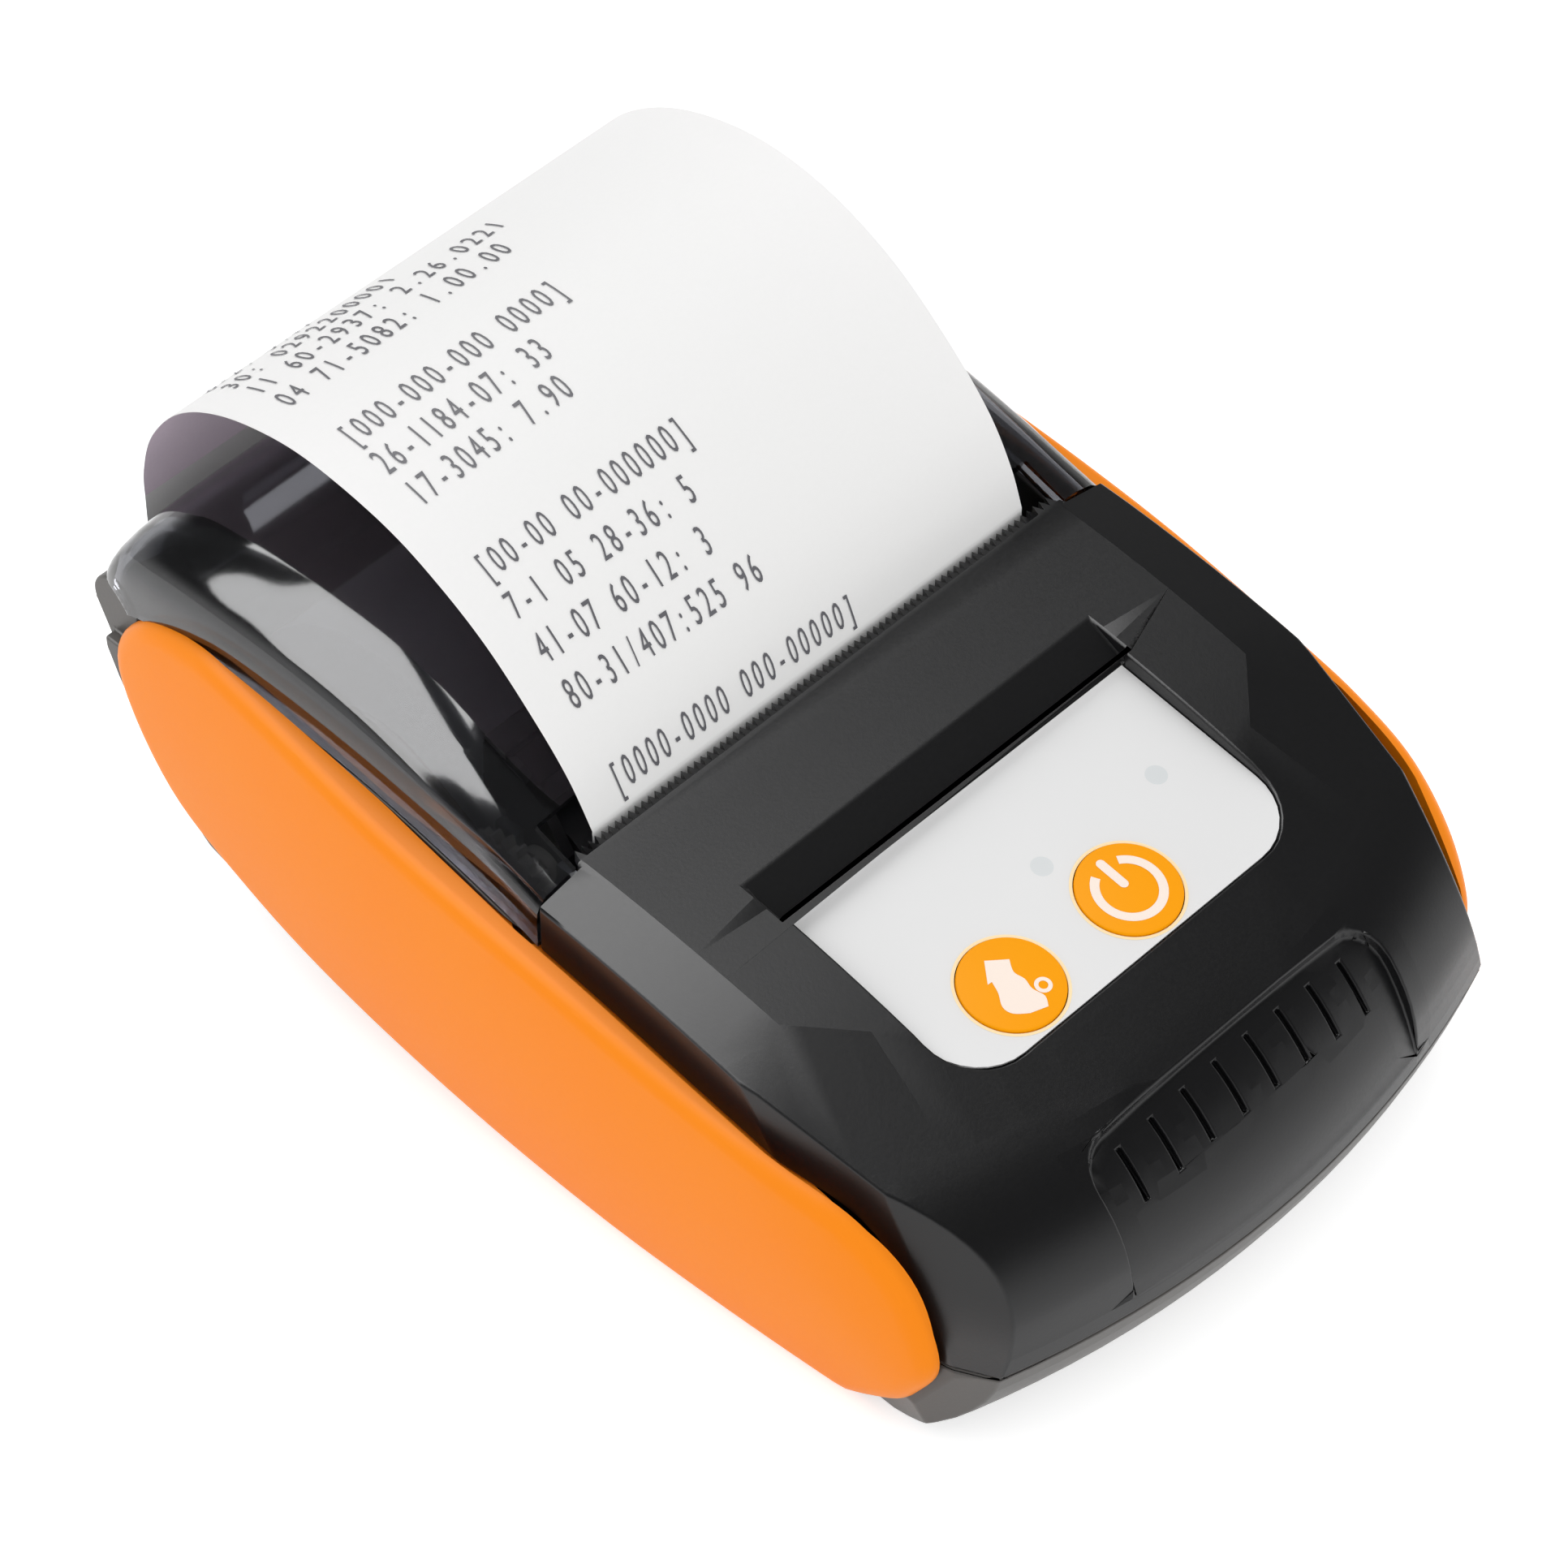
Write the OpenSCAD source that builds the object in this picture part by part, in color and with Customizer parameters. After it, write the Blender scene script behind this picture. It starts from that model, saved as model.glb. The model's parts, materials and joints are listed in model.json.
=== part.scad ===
// Pocket thermal receipt printer for 58 mm paper, with a clamshell lid.
// Origin at the middle of the underside, +X to the right, +Y to the rear, +Z up.

/* [Case] */
// Width over the black side walls
body_w = 75.6; // [75:0.2:77]
// Distance from the origin to the nose at the parting line
nose_y = 58.7; // [57:0.1:60]
// Radius of the nose seen from above
nose_bow_r = 109.2; // [100:0.2:120]
// Height of the parting line between the lower and upper shell
parting_z = 12.8; // [11:0.1:14]
// Radius of the top surface seen from the side
top_arc_r = 165; // [160:1:180]
// Height of the serrated tear edge
tear_z = 38.5; // [38:0.1:39]
// Wall thickness of the shells
wall = 2; // [1.6:0.1:2.2]
// Half width of the flat of the top, inside the two side facets
flat_half_w = 31.5; // [31:0.1:33]
// Fall of the side facets, in degrees
facet_angle = 12; // [8:1:14]

/* [Side panels] */
// Radius of the panel's bulge seen from the front
panel_bulge_r = 138; // [130:1:150]
// Radius of the panel's bulge seen from above
panel_long_r = 468; // [440:2:520]
// Distance of the panel's crown outside the side wall
panel_proud = 4.15; // [3.9:0.05:4.3]

/* [Lid] */
// Height of the lid's crown
lid_top_z = 48; // [47:0.1:49]
// Wall thickness of the smoked lid
lid_wall = 1.8; // [1.5:0.1:2]
// Place of the hinge axis behind and above the origin
hinge_y = 60; // [59.5:0.1:60.5]
hinge_z = 32; // [31.5:0.1:32.5]
// Outer radius of the hinge knuckles
knuckle_r = 3.2; // [3:0.1:3.4]
// Radius of the two hinge pins
hinge_pin_r = 1; // [0.9:0.05:1.1]

/* [Paper] */
// Width of the paper web
paper_w = 57.5; // [57:0.1:58]
// Modelled thickness of the paper strip
paper_t = 0.2; // [0.2:0.05:0.3]
// Outer radius of the partly used roll
roll_r = 18; // [16:0.1:18]
// Outer and inner radius of the roll's core
core_r = 8; // [7:0.1:9]
core_bore_r = 6.5; // [5:0.1:6.8]

/* [Mechanism] */
// Radius of the rubber platen
platen_r = 4.5; // [4.4:0.05:4.5]
// Place of the platen axis
platen_y = 7.2; // [7.2:0.1:7.4]
platen_z = 30.8; // [30.6:0.1:31]
// Radius of the platen shaft
shaft_r = 1.5; // [1.4:0.05:1.6]
// Gear module
gear_m = 0.5; // [0.5:0.01:0.5]
// Teeth of the platen gear
platen_teeth = 24; // [24:1:24]
// Teeth of the idler's small and large gears
idler_small_teeth = 14; // [14:1:14]
idler_large_teeth = 28; // [28:1:28]
// Teeth of the motor pinion
motor_teeth = 12; // [12:1:12]
// Radius and length of the stepper motor's can
motor_r = 7.5; // [7:0.1:7.6]
motor_len = 12; // [10:0.5:14]

/* [Key pad] */
// Fall of the key pad towards the front, in degrees
pad_tilt = 8.3; // [8:0.1:8.6]
// Rear edge of the key pad, behind and above the origin
pad_rear_y = -16.1; // [-16.4:0.1:-15.8]
pad_rear_z = 35.1; // [34.9:0.1:35.2]
// Length and half width of the key pad
pad_len = 23.6; // [23:0.1:24]
pad_half_w = 22.6; // [22:0.1:23]
// Corner radius at the pad's front
pad_corner_r = 6.5; // [5:0.1:7.5]
// Thickness of the printed overlay
overlay_t = 0.35; // [0.3:0.05:0.4]
// Radius of the two round keys
key_r = 5.1; // [4.8:0.1:5.2]
// Sideways place of the feed key and of the power key
feed_x = -11.8; // [-12.2:0.1:-11.4]
power_x = 4; // [3.6:0.1:4.4]
// Distance of the keys from the pad's rear edge
key_s = 17.9; // [17.5:0.1:18]
// Press travel of the keys
key_travel = 0.35; // [0.2:0.05:0.4]
// Distance of the two indicator lights from the pad's rear edge
led_s = 10.8; // [10:0.1:11.5]
// Radius of the indicator lights
led_r = 1.1; // [0.9:0.1:1.3]

/* [Battery] */
// Half width of the battery door's face
door_half_w = 26; // [25:0.5:26]
// Front and rear edge of the battery door
door_front_y = -47; // [-47:0.5:-46]
door_rear_y = -13; // [-14:0.5:-13]
// Travel of the battery door before it lifts off
door_travel = 4; // [3:0.5:5]

/* [Hidden] */

half_w = body_w / 2;
bow_centre_y = nose_bow_r - nose_y;
seam = 0.2;
fit_gap = 0.1;
big = 400;
round_fn = 96;
bow_fn = 240;

// The nose's height outline, from the underside to the top, as points before the bow is applied
nose_low = [[-nose_y, parting_z], [-nose_y + 1.7, 3], [-nose_y + 9.4, 0]];
nose_high = [[-nose_y, parting_z], [-nose_y - 0.2, 26], [-nose_y + 12.7, 29.9]];
nose_top_slope = 0.36;
nose_top_run = 70;

// The underside's rise to the rear wall
tail_curve = [[30, 0], [52, 3.5], [60.5, 27]];
rear_wall_top_z = 28.4;

// The line where lid, side wall and side panel meet
sill_pts = [[-0.5, 31.2], [3.5, 32.1], [12, 34], [22.5, 35.7], [34, 36.5], [45.5, 36.6], [52, 35.3], [56.3, 32.4]];
sill_line = concat([[1, sill_pts[0][1]]], [for (p = smooth_open(sill_pts, 4)) if (p[0] > 1) p],
    [[57.5, rear_wall_top_z + seam], [70, rear_wall_top_z + seam]]);
panel_pts = [[-45.6, 21.6], [-39.5, 27], [-31, 29.1], [-20, 30.8], [-6.3, 33], [5, 34.3], [17.7, 35.6],
             [28.5, 37.1], [38, 38.1], [46, 38], [54.7, 34.5], [58.8, 26], [52.2, 13.6], [41.3, 8.2], [27.8, 4.4], [5, 1.4], [-20, -0.2],
             [-34.2, -1.2], [-43.2, 3.8], [-46.9, 8.4], [-48.7, 13.8]];

// The lid's outline stations: place along Y, height of the crown, half width, height of the lower edge, squareness
lid_stations = [
    [0.5, 38.6, 37.8, 31.6, 8], [5, 40.3, 37.7, 32.8, 7], [11, 42.9, 37.7, 34.1, 5.5], [17, 45.2, 37.7, 35.2, 4.6],
    [23, 46.9, 37.7, 36, 4.2], [29, 47.8, 37.7, 36.5, 4], [36, 48, 37.7, 36.8, 4], [42, 47.8, 37.7, 36.9, 4],
    [47.5, 47.2, 37.7, 36.6, 4.3], [52, 46.3, 37.7, 35.6, 4.8], [55.4, 44.8, 37.6, 34.4, 5.6],
    [58.2, 42.6, 37.4, 33.1, 6.4], [60.3, 39.5, 36.9, 32, 6.6], [61.4, 35.6, 36.1, 31.5, 6.6],
    [61.6, 33, 35.5, 31.3, 6.6]
];
lid_quarter = [0, 18, 28, 34, 39, 43, 47, 51, 56, 62, 70, 80];
lid_angles = concat([for (a = lid_quarter) 180 - a], [90], [for (i = [len(lid_quarter) - 1:-1:0]) lid_quarter[i]]);

// Sides of the paper strip's arch, left and right edge
strip_left = [[2.45, 38.6], [5.3, 43.3], [9.4, 47.9], [15.4, 53.3], [21.5, 57], [28, 59.6], [36.2, 60.9], [43, 60.6],
              [50.7, 58.3], [57, 54.2], [61.4, 48.3], [63.3, 42.5], [63.6, 38], [63.7, 33.5]];
strip_right = [[2.45, 38.6], [4.1, 43.1], [7.2, 48.3], [12.6, 53.9], [19.6, 59.3], [27.3, 62.7], [35, 63.9], [42.5, 63],
               [50, 60.1], [56.5, 55.2], [61, 48.8], [63.3, 42.5], [63.6, 38], [63.7, 33.5]];
strip_steps = 3;

// Places along X of the gear layers and the frame's side plates
plate_x = 30.4;
plate_t = 1;
gear_t = 1.2;
layer_b_x = 31.9;
layer_a_x = 33.4;
gear_gap = 0.05;
idler_y = platen_y;
idler_z = platen_z - gear_m * (platen_teeth + idler_small_teeth) / 2 - gear_gap;
motor_dir = 240;
motor_dist = gear_m * (idler_large_teeth + motor_teeth) / 2 + gear_gap;
motor_y = idler_y + motor_dist * cos(motor_dir);
motor_z = idler_z + motor_dist * sin(motor_dir);
bush_r = 2.5;
head_pivot_y = 0.3;
head_pivot_z = 22.5;
head_face_y = platen_y - platen_r - 0.15 - paper_t - 0.15;

// The roll lies in the cradle
cradle_r = 20.2;
cradle_wall = 1;
cradle_y = 30.5;
cradle_z = 24.5;
roll_y = cradle_y;
roll_z = cradle_z - cradle_r + roll_r + 0.3;

// Key board and pillars
board_depth = 6.6;
board_t = 1.2;
pillar_pts = [[-31, -46.2], [31, -46.2], [-32.6, -14.6], [32.6, -14.6]];
main_z = 14.5;
main_front_y = -40;
main_rear_y = -18.6;
main_post_pts = [[-30.6, -37], [30.6, -37], [-30.6, -21.5], [30.6, -21.5]];
frame_bar_z = 9.2;
frame_screw_pts = [[-24, -8.6], [24, -8.6]];
bay_roof_z = 11.6;

function bezier(p, n) = [for (i = [0:n]) let (t = i / n)
    (1 - t) * (1 - t) * p[0] + 2 * t * (1 - t) * p[1] + t * t * p[2]];
function reverse(v) = [for (i = [len(v) - 1:-1:0]) v[i]];
function arc(c, r, a0, a1, n) = [for (i = [0:n]) let (a = a0 + (a1 - a0) * i / n) c + r * [cos(a), sin(a)]];
// A point of the smooth curve through four neighbours
function spline_point(a, b, c, d, t) = 0.5 * (2 * b + (c - a) * t + (2 * a - 5 * b + 4 * c - d) * t * t
    + (3 * b - a - 3 * c + d) * t * t * t);
function smooth_open(p, n) = let (m = len(p)) [for (i = [0:m - 2]) for (k = [0:(i == m - 2 ? n : n - 1)])
    spline_point(p[max(i - 1, 0)], p[i], p[i + 1], p[min(i + 2, m - 1)], k / n)];
function smooth_closed(p, n) = let (m = len(p)) [for (i = [0:m - 1]) for (k = [0:n - 1])
    spline_point(p[(i + m - 1) % m], p[i], p[(i + 1) % m], p[(i + 2) % m], k / n)];
function to_radius(p) = [for (q = p) [bow_centre_y - q[0], q[1]]];
function bow(x) = nose_bow_r - sqrt(nose_bow_r * nose_bow_r - x * x);

// Draws a Y-Z outline and extrudes it from x0 to x1
module along_x(x0, x1) {
    translate([x0, 0, 0]) rotate([90, 0, 90]) linear_extrude(x1 - x0) children();
}

// A cylinder along X at a place in the Y-Z plane
module rod_x(y, z, r, x0, x1, fn = 48) {
    translate([x0, y, z]) rotate([0, 90, 0]) cylinder(r = r, h = x1 - x0, $fn = fn);
}

module mirrored_pair() {
    children();
    mirror([1, 0, 0]) children();
}

module box(lo, hi) {
    translate(lo) cube(hi - lo);
}

// The frame of the key pad: x to the right, y to the rear along the pad, z out of it
module on_pad() {
    translate([0, pad_rear_y, pad_rear_z]) rotate([pad_tilt, 0, 0]) children();
}

// The bowed nose as a solid of revolution about an upright axis
module nose_turn(inset) {
    low = to_radius([nose_low[0] + [inset, 0], nose_low[1] + [inset, inset], nose_low[2] + [inset * 0.5, inset]]);
    high = to_radius([nose_high[0] + [inset, 0], nose_high[1] + [inset, -inset], nose_high[2] + [inset * 0.5, -inset]]);
    outline = concat([[0, inset]], reverse(bezier(low, 8)), bezier(high, 12),
        [[high[2][0] - nose_top_run, high[2][1] + nose_top_run * nose_top_slope],
         [0, high[2][1] + nose_top_run * nose_top_slope]]);
    translate([0, bow_centre_y, 0]) rotate_extrude($fn = bow_fn) polygon(outline);
}

// The arched top as a long cylinder across the body, turned down at the side facets
module top_arch(inset) {
    rise = 1.5;
    centre_y = 3 + top_arc_r * sin(rise);
    centre_z = tear_z - top_arc_r * cos(rise);
    rod_x(centre_y, centre_z, top_arc_r - inset, -big / 2, big / 2, bow_fn);
}

module turned_arch(inset, side) {
    pivot_z = 36;
    translate([side * flat_half_w, 0, pivot_z]) rotate([0, side * facet_angle, 0])
        translate([-side * flat_half_w, 0, -pivot_z]) top_arch(inset);
}

// A half space whose face passes through a point; turned about Z, then tilted up
module corner_cut(point, turn, tilt, inset) {
    translate(point) rotate([0, 0, -turn]) rotate([0, -tilt, 0]) translate([-big - inset, -big / 2, -big / 2]) cube(big);
}

// The side walls with the upper front corners
module between_sides(inset) {
    intersection() {
        box([-half_w + inset, -big / 2, -big / 2], [half_w - inset, big / 2, big / 2]);
        corner_cut([33.5, -53.5, 13], 26.8, 14.9, inset);
        mirror([1, 0, 0]) corner_cut([33.5, -53.5, 13], 26.8, 14.9, inset);
        corner_cut([36.5, -32.5, 32], 12, 8, inset);
        mirror([1, 0, 0]) corner_cut([36.5, -32.5, 32], 12, 8, inset);
    }
}

// The outer form of the whole body under the lid line, shrunk by inset
module body_form(inset) {
    intersection() {
        between_sides(inset);
        nose_turn(inset);
        top_arch(inset);
        turned_arch(inset, 1);
        turned_arch(inset, -1);
    }
}

// The side walls with the lower front corners and their fall towards the underside
module low_sides(inset) {
    intersection() {
        between_sides(inset);
        corner_cut([33.5, -53.5, parting_z], 32, -5, inset);
        mirror([1, 0, 0]) corner_cut([33.5, -53.5, parting_z], 32, -5, inset);
        corner_cut([half_w, 0, 8], 0, -15, inset);
        mirror([1, 0, 0]) corner_cut([half_w, 0, 8], 0, -15, inset);
    }
}

// Lower outline seen from the side, from the nose round the underside to the rear wall
module low_outline(inset, top_z) {
    tail = bezier([tail_curve[0] + [0, inset], tail_curve[1] + [-inset * 0.5, inset * 0.9],
        tail_curve[2] + [-inset, 0]], 14);
    polygon(concat([[-80, inset]], tail, [[tail[14][0] + 0.2, top_z], [-80, top_z]]));
}

module low_form(inset) {
    intersection() {
        low_sides(inset);
        nose_turn(inset);
        along_x(-big / 2, big / 2) low_outline(inset, 60);
    }
}

// The lower shell's side outline, flat at the parting line and high behind it
module tub_outline() {
    polygon(concat([[-80, -1], [-80, parting_z], [1, parting_z]], [for (p = sill_line) p - [0, seam]], [[70, -1]]));
}

// Where the lid sweeps: over the sill, between the panels
module lid_room() {
    lip = 0.2;
    intersection() {
        along_x(-half_w - lip, half_w + lip)
            polygon(concat([[0.35, 70], [0.35, sill_pts[0][1] - seam]], [for (p = sill_line) p - [0, seam]], [[70, 70]]));
        box([-big, -1, 20], [big, 80, 80]);
    }
}

// The fine groove that marks the parting line round the nose
module parting_groove() {
    difference() {
        box([-big, -80, parting_z - 0.3], [big, -46, parting_z + 1]);
        low_form(0.35);
    }
}

module hinge_lug(x0, x1) {
    along_x(x0, x1) polygon([[57.9, 24], [60.2, 24.4], [63.1, 31], [hinge_y, hinge_z], [57.9, hinge_z - 2]]);
    rod_x(hinge_y, hinge_z, knuckle_r, x0, x1);
}

module bottom_case() {
    color("#26272a") difference() {
        union() {
            difference() {
                intersection() {
                    low_form(0);
                    along_x(-big / 2, big / 2) tub_outline();
                }
                low_form(wall);
            }
            // Battery bay inside the shell
            difference() {
                box([-door_half_w - 2.2, door_front_y - 1.4, 1], [door_half_w + 2.2, door_rear_y + door_travel + 0.4, bay_roof_z]);
                box([-door_half_w - 0.8, door_front_y, -1], [door_half_w + 0.8, door_rear_y - 0.4, bay_roof_z - 1.2]);
                box([-door_half_w - 5, door_rear_y + 1, wall + 0.4], [door_half_w + 5, door_rear_y + 8, bay_roof_z + 1]);
            }
            intersection() {
                low_form(0.4);
                for (p = pillar_pts) translate([p[0], p[1], 0]) cylinder(r = 3, h = parting_z - seam, $fn = 32);
            }
            for (p = main_post_pts) translate([p[0], p[1], 1]) cylinder(r = 1.9, h = main_z - 1, $fn = 32);
            for (p = frame_screw_pts) translate([p[0], p[1], 1]) cylinder(r = 2.3, h = frame_bar_z - 1, $fn = 32);
            for (x = [-20, 20]) box([x - 1, 24, 1], [x + 1, 36, cradle_z - cradle_r - cradle_wall - 0.05]);
            mirrored_pair() hinge_lug(29, 36.4);
        }
        // Door face, and its runners above it
        box([-door_half_w - fit_gap, door_front_y - fit_gap, -1], [door_half_w + fit_gap, door_rear_y + door_travel, 0.85]);
        box([-door_half_w - 0.9, door_front_y - fit_gap, 0.75], [door_half_w + 0.9, door_rear_y + door_travel, 1.7]);
        box([-door_half_w - fit_gap, door_front_y + 0.2, 0], [door_half_w + fit_gap, door_rear_y - 0.4, wall + 0.4]);
        parting_groove();
        for (p = pillar_pts) translate([p[0], p[1], -1]) {
            cylinder(r = 1.15, h = 20, $fn = 32);
            cylinder(r = 2.1, h = 6, $fn = 32);
        }
        for (p = main_post_pts) translate([p[0], p[1], 8]) cylinder(r = 0.7, h = 10, $fn = 32);
        for (p = frame_screw_pts) translate([p[0], p[1], 4]) cylinder(r = 0.9, h = 10, $fn = 32);
        mirrored_pair() rod_x(hinge_y, hinge_z, hinge_pin_r, 28, 35.4, 32);
        // Mouth for the charging socket
        box([17.9, 50, 20.7], [26.1, 70, 23.9]);
        // Snap holes of the side panels
        for (s = [-1, 1]) for (p = panel_pegs) translate([s * half_w, p[0], p[1]]) rotate([0, 90, 0])
            cylinder(r = 1.3, h = 12, center = true, $fn = 32);
        side_pockets() low_sides(panel_seat + 0.05);
    }
}

panel_pegs = [[-28, 8], [3, 8], [47.5, 27]];

// The row of tear teeth along the top cover's rear edge
tooth_pitch = 0.85;
tooth_count = 75;
tooth_depth = 1.2;
tear_y = 2;

module tear_teeth() {
    start = -tooth_pitch * tooth_count / 2;
    points = [for (i = [0:tooth_count - 1]) each [[start + i * tooth_pitch, tear_y - tooth_depth],
        [start + (i + 0.5) * tooth_pitch, tear_y]]];
    translate([0, 0, tear_z - 1.6]) linear_extrude(1.5)
        polygon(concat(points, [[-start, tear_y - tooth_depth], [-start, 0.5], [start, 0.5]]));
}

module pad_outline(grow) {
    w = pad_half_w + grow;
    r = pad_corner_r;
    front = -pad_len - grow;
    polygon(concat([[w, grow], [-w, grow]], arc([-w + r, front + r], r, 180, 270, 8), arc([w - r, front + r], r, 270, 360, 8)));
}

module key_holes(r) {
    for (x = [feed_x, power_x]) translate([x, -key_s, -5]) cylinder(r = r, h = 10, $fn = 48);
}

// The two indicator lights sit midway past the keys
led_xs = [-0.1, 15.6];

module led_holes(r) {
    for (x = led_xs) translate([x, -led_s, -5]) cylinder(r = r, h = 10, $fn = 32);
}

// Finger recess: half width, rear edge and corner radius of its window, and the bed's outline under the nose
grip_half_w = 19.6;
grip_rear_y = -48.7;
grip_corner_r = 3.5;
grip_bed = bezier([[-48.2, 28.1], [-55.3, 25], [-58.75, 14.5]], 10);
slot_count = 8;
slot_span = 30.1;
slot_w = 0.5;
slot_len = 5.5;
slot_fall = 41.5;

// Everything outside the bed, turned about the nose's axis; push moves the bed into the body
module over_bed(push, out) {
    bed = to_radius([for (p = grip_bed) p + push * [0.66, -0.75]]);
    last = bed[len(bed) - 1];
    translate([0, bow_centre_y, 0]) rotate_extrude($fn = bow_fn)
        polygon(concat(bed, [[last[0] + out, last[1]], [last[0] + out, bed[0][1] + out], [bed[0][0], bed[0][1] + out]]));
}

module grip_recess() {
    r = grip_corner_r;
    intersection() {
        over_bed(0, 12);
        translate([0, 0, 10]) linear_extrude(30) polygon(concat([[grip_half_w, -70]],
            arc([grip_half_w - r, grip_rear_y - r], r, 0, 90, 6), arc([r - grip_half_w, grip_rear_y - r], r, 90, 180, 6),
            [[-grip_half_w, -70]]));
    }
}

module grip_slots() {
    for (i = [0:slot_count - 1]) {
        x = -slot_span / 2 + i * slot_span / (slot_count - 1);
        translate([x, -52.25, 25.5 - tan(slot_fall) * bow(x)]) rotate([slot_fall - 90, 0, 0])
            cube([slot_w, 1.8, slot_len], center = true);
    }
}

module cover_bosses() {
    for (p = pillar_pts) translate([p[0], p[1], parting_z]) cylinder(r = 2.6, h = 24, $fn = 32);
}

module top_cover() {
    color("#2f3033") difference() {
        union() {
            difference() {
                intersection() {
                    body_form(0);
                    box([-big, -big, parting_z], [big, 0.2, big]);
                }
                intersection() {
                    body_form(wall);
                    box([-big, -big, parting_z - 1], [big, -0.8, big]);
                }
                // The rear is open below the tear edge
                box([-33.4, -2, parting_z - 1], [33.4, 5, 36.2]);
            }
            intersection() {
                body_form(0.9);
                cover_bosses();
            }
            intersection() {
                body_form(0);
                box([-32.4, -3, 36.2], [32.4, tear_y - tooth_depth, 40]);
            }
            tear_teeth();
            // Pocket floor, its ramp and rim under the skin
            intersection() {
                body_form(0.5);
                on_pad() translate([-25, -26, -2.2]) cube([50, 33, 6]);
            }
            intersection() {
                body_form(0.5);
                grip_backing();
            }
            on_pad() for (x = [-20.2, 20.2]) translate([x, -4, -board_depth]) cylinder(r = 1.9, h = board_depth - 1, $fn = 32);
        }
        on_pad() translate([0, 0, -overlay_t]) linear_extrude(20) pad_outline(0.1);
        along_x(-pad_half_w - 0.6, pad_half_w + 0.6)
            polygon([[pad_rear_y - 0.1, pad_rear_z - overlay_t], [pad_rear_y + 0.1, pad_rear_z], [-10.6, 37.8], [-10.6, 44], [pad_rear_y - 0.1, 44]]);
        on_pad() key_holes(key_r + fit_gap);
        on_pad() led_holes(led_r + fit_gap);
        on_pad() for (x = [-20.2, 20.2]) translate([x, -4, -board_depth - 1]) cylinder(r = 0.7, h = 5, $fn = 32);
        side_pockets() between_sides(panel_seat + 0.05);
        grip_recess();
        grip_slots();
        for (p = pillar_pts) translate([p[0], p[1], 10]) cylinder(r = 1, h = 12, $fn = 32);
    }
}

// Extra plastic behind the finger recess, so that the recess doesn't break through
module grip_backing() {
    intersection() {
        over_bed(2, 6);
        box([-grip_half_w - 2, -70, parting_z + seam], [grip_half_w + 2, -40, 40]);
    }
}

// A closed outline moved outward by g along its own normals
function grown(p, g) = let (m = len(p)) [for (i = [0:m - 1])
    let (d = p[(i + 1) % m] - p[(i + m - 1) % m]) p[i] - g * [-d[1], d[0]] / norm(d)];

module panel_leaf(grow) {
    polygon(grown(reverse(smooth_closed(panel_pts, 4)), grow));
}

// Depth of the seat that each panel's foot lies in, the gap behind the panel's rim and the rim's reach past the foot
panel_seat = 0.9;
rim_gap = 1.4;
rim_lap = 2.6;

// How far a panel may stand out from the front corners, and its lowest edge
corner_proud = 4.9;
panel_foot_z = 0.25;

// Room for both panels: their outline, a little larger, down to the seat given as child
module side_pockets() {
    mirrored_pair() difference() {
        along_x(28, 46) panel_leaf(0.3 - rim_lap);
        children();
    }
}

// The shells' sides moved in by inset, without the room above the sill
module both_sides(inset) {
    low_sides(inset);
    intersection() {
        between_sides(inset);
        box([-big, -big, parting_z - 0.1], [big, big, big]);
    }
}

// Left and right panels are mirror images: a leaf outline cut from a slightly barrelled block, on a smaller foot
module side_panel(side) {
    crown_x = half_w + panel_proud;
    mid_y = 3;
    mid_z = 24.6;
    barrel = [for (i = [-12:12]) let (y = i * 6)
        [panel_bulge_r - panel_long_r + sqrt(panel_long_r * panel_long_r - y * y), y]];
    mirror([side < 0 ? 1 : 0, 0, 0]) {
        difference() {
            intersection() {
                along_x(30, half_w + 6) panel_leaf(0);
                box([0, -big, panel_foot_z], [big, big, big]);
                translate([crown_x - panel_bulge_r, mid_y, mid_z]) rotate([-90, 0, 0])
                    rotate_extrude($fn = bow_fn) polygon(concat([[0, -72]], barrel, [[0, 72]]));
                corner_cut([33.5, -53.5, 13], 26.8, 14.9, -corner_proud);
            }
            both_sides(panel_seat);
            difference() {
                both_sides(-rim_gap);
                along_x(28, half_w + 6) panel_leaf(-rim_lap);
            }
            lid_room();
        }
        for (p = panel_pegs) rod_x(p[0], p[1], 1.2, half_w - wall - 0.6, half_w, 32);
    }
}

module side_panel_left() {
    color("#ff8c3a") side_panel(-1);
}

module side_panel_right() {
    color("#ff8c3a") side_panel(1);
}

module keypad_overlay() {
    color("#e4e5e6") on_pad() difference() {
        translate([0, 0, -overlay_t]) linear_extrude(overlay_t) pad_outline(0);
        key_holes(key_r + fit_gap);
        led_holes(led_r);
    }
}

module indicator_lenses() {
    color("#cfd4d6") on_pad() for (x = led_xs) translate([x, -led_s, -2.6]) cylinder(r = led_r, h = 2.6, $fn = 32);
}

// A round key cap with a retaining flange under the cover and a stem to its switch
module key(x) {
    on_pad() translate([x, -key_s, 0]) {
        translate([0, 0, -2.4]) cylinder(r = key_r, h = 2.7, $fn = 64);
        translate([0, 0, -3.2]) cylinder(r = key_r + 0.7, h = 0.8, $fn = 64);
        translate([0, 0, -3.55]) cylinder(r = 1.5, h = 0.4, $fn = 32);
    }
}

module feed_button() {
    color("#ffa41c") key(feed_x);
}

module power_button() {
    color("#ffa41c") key(power_x);
}

module key_board() {
    color("#1d5c38") on_pad() difference() {
        translate([-23, -22.6, -board_depth - board_t]) cube([46, 22, board_t]);
        for (x = [-20.2, 20.2]) translate([x, -4, -board_depth - 2]) cylinder(r = 1, h = 3, $fn = 32);
    }
}

module tact_switches() {
    color("#3a3a3d") on_pad() for (x = [feed_x, power_x]) translate([x, -key_s, -board_depth]) {
        translate([-3, -3, 0]) cube([6, 6, 2]);
        cylinder(r = 1.6, h = 2.6, $fn = 32);
    }
}

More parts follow.
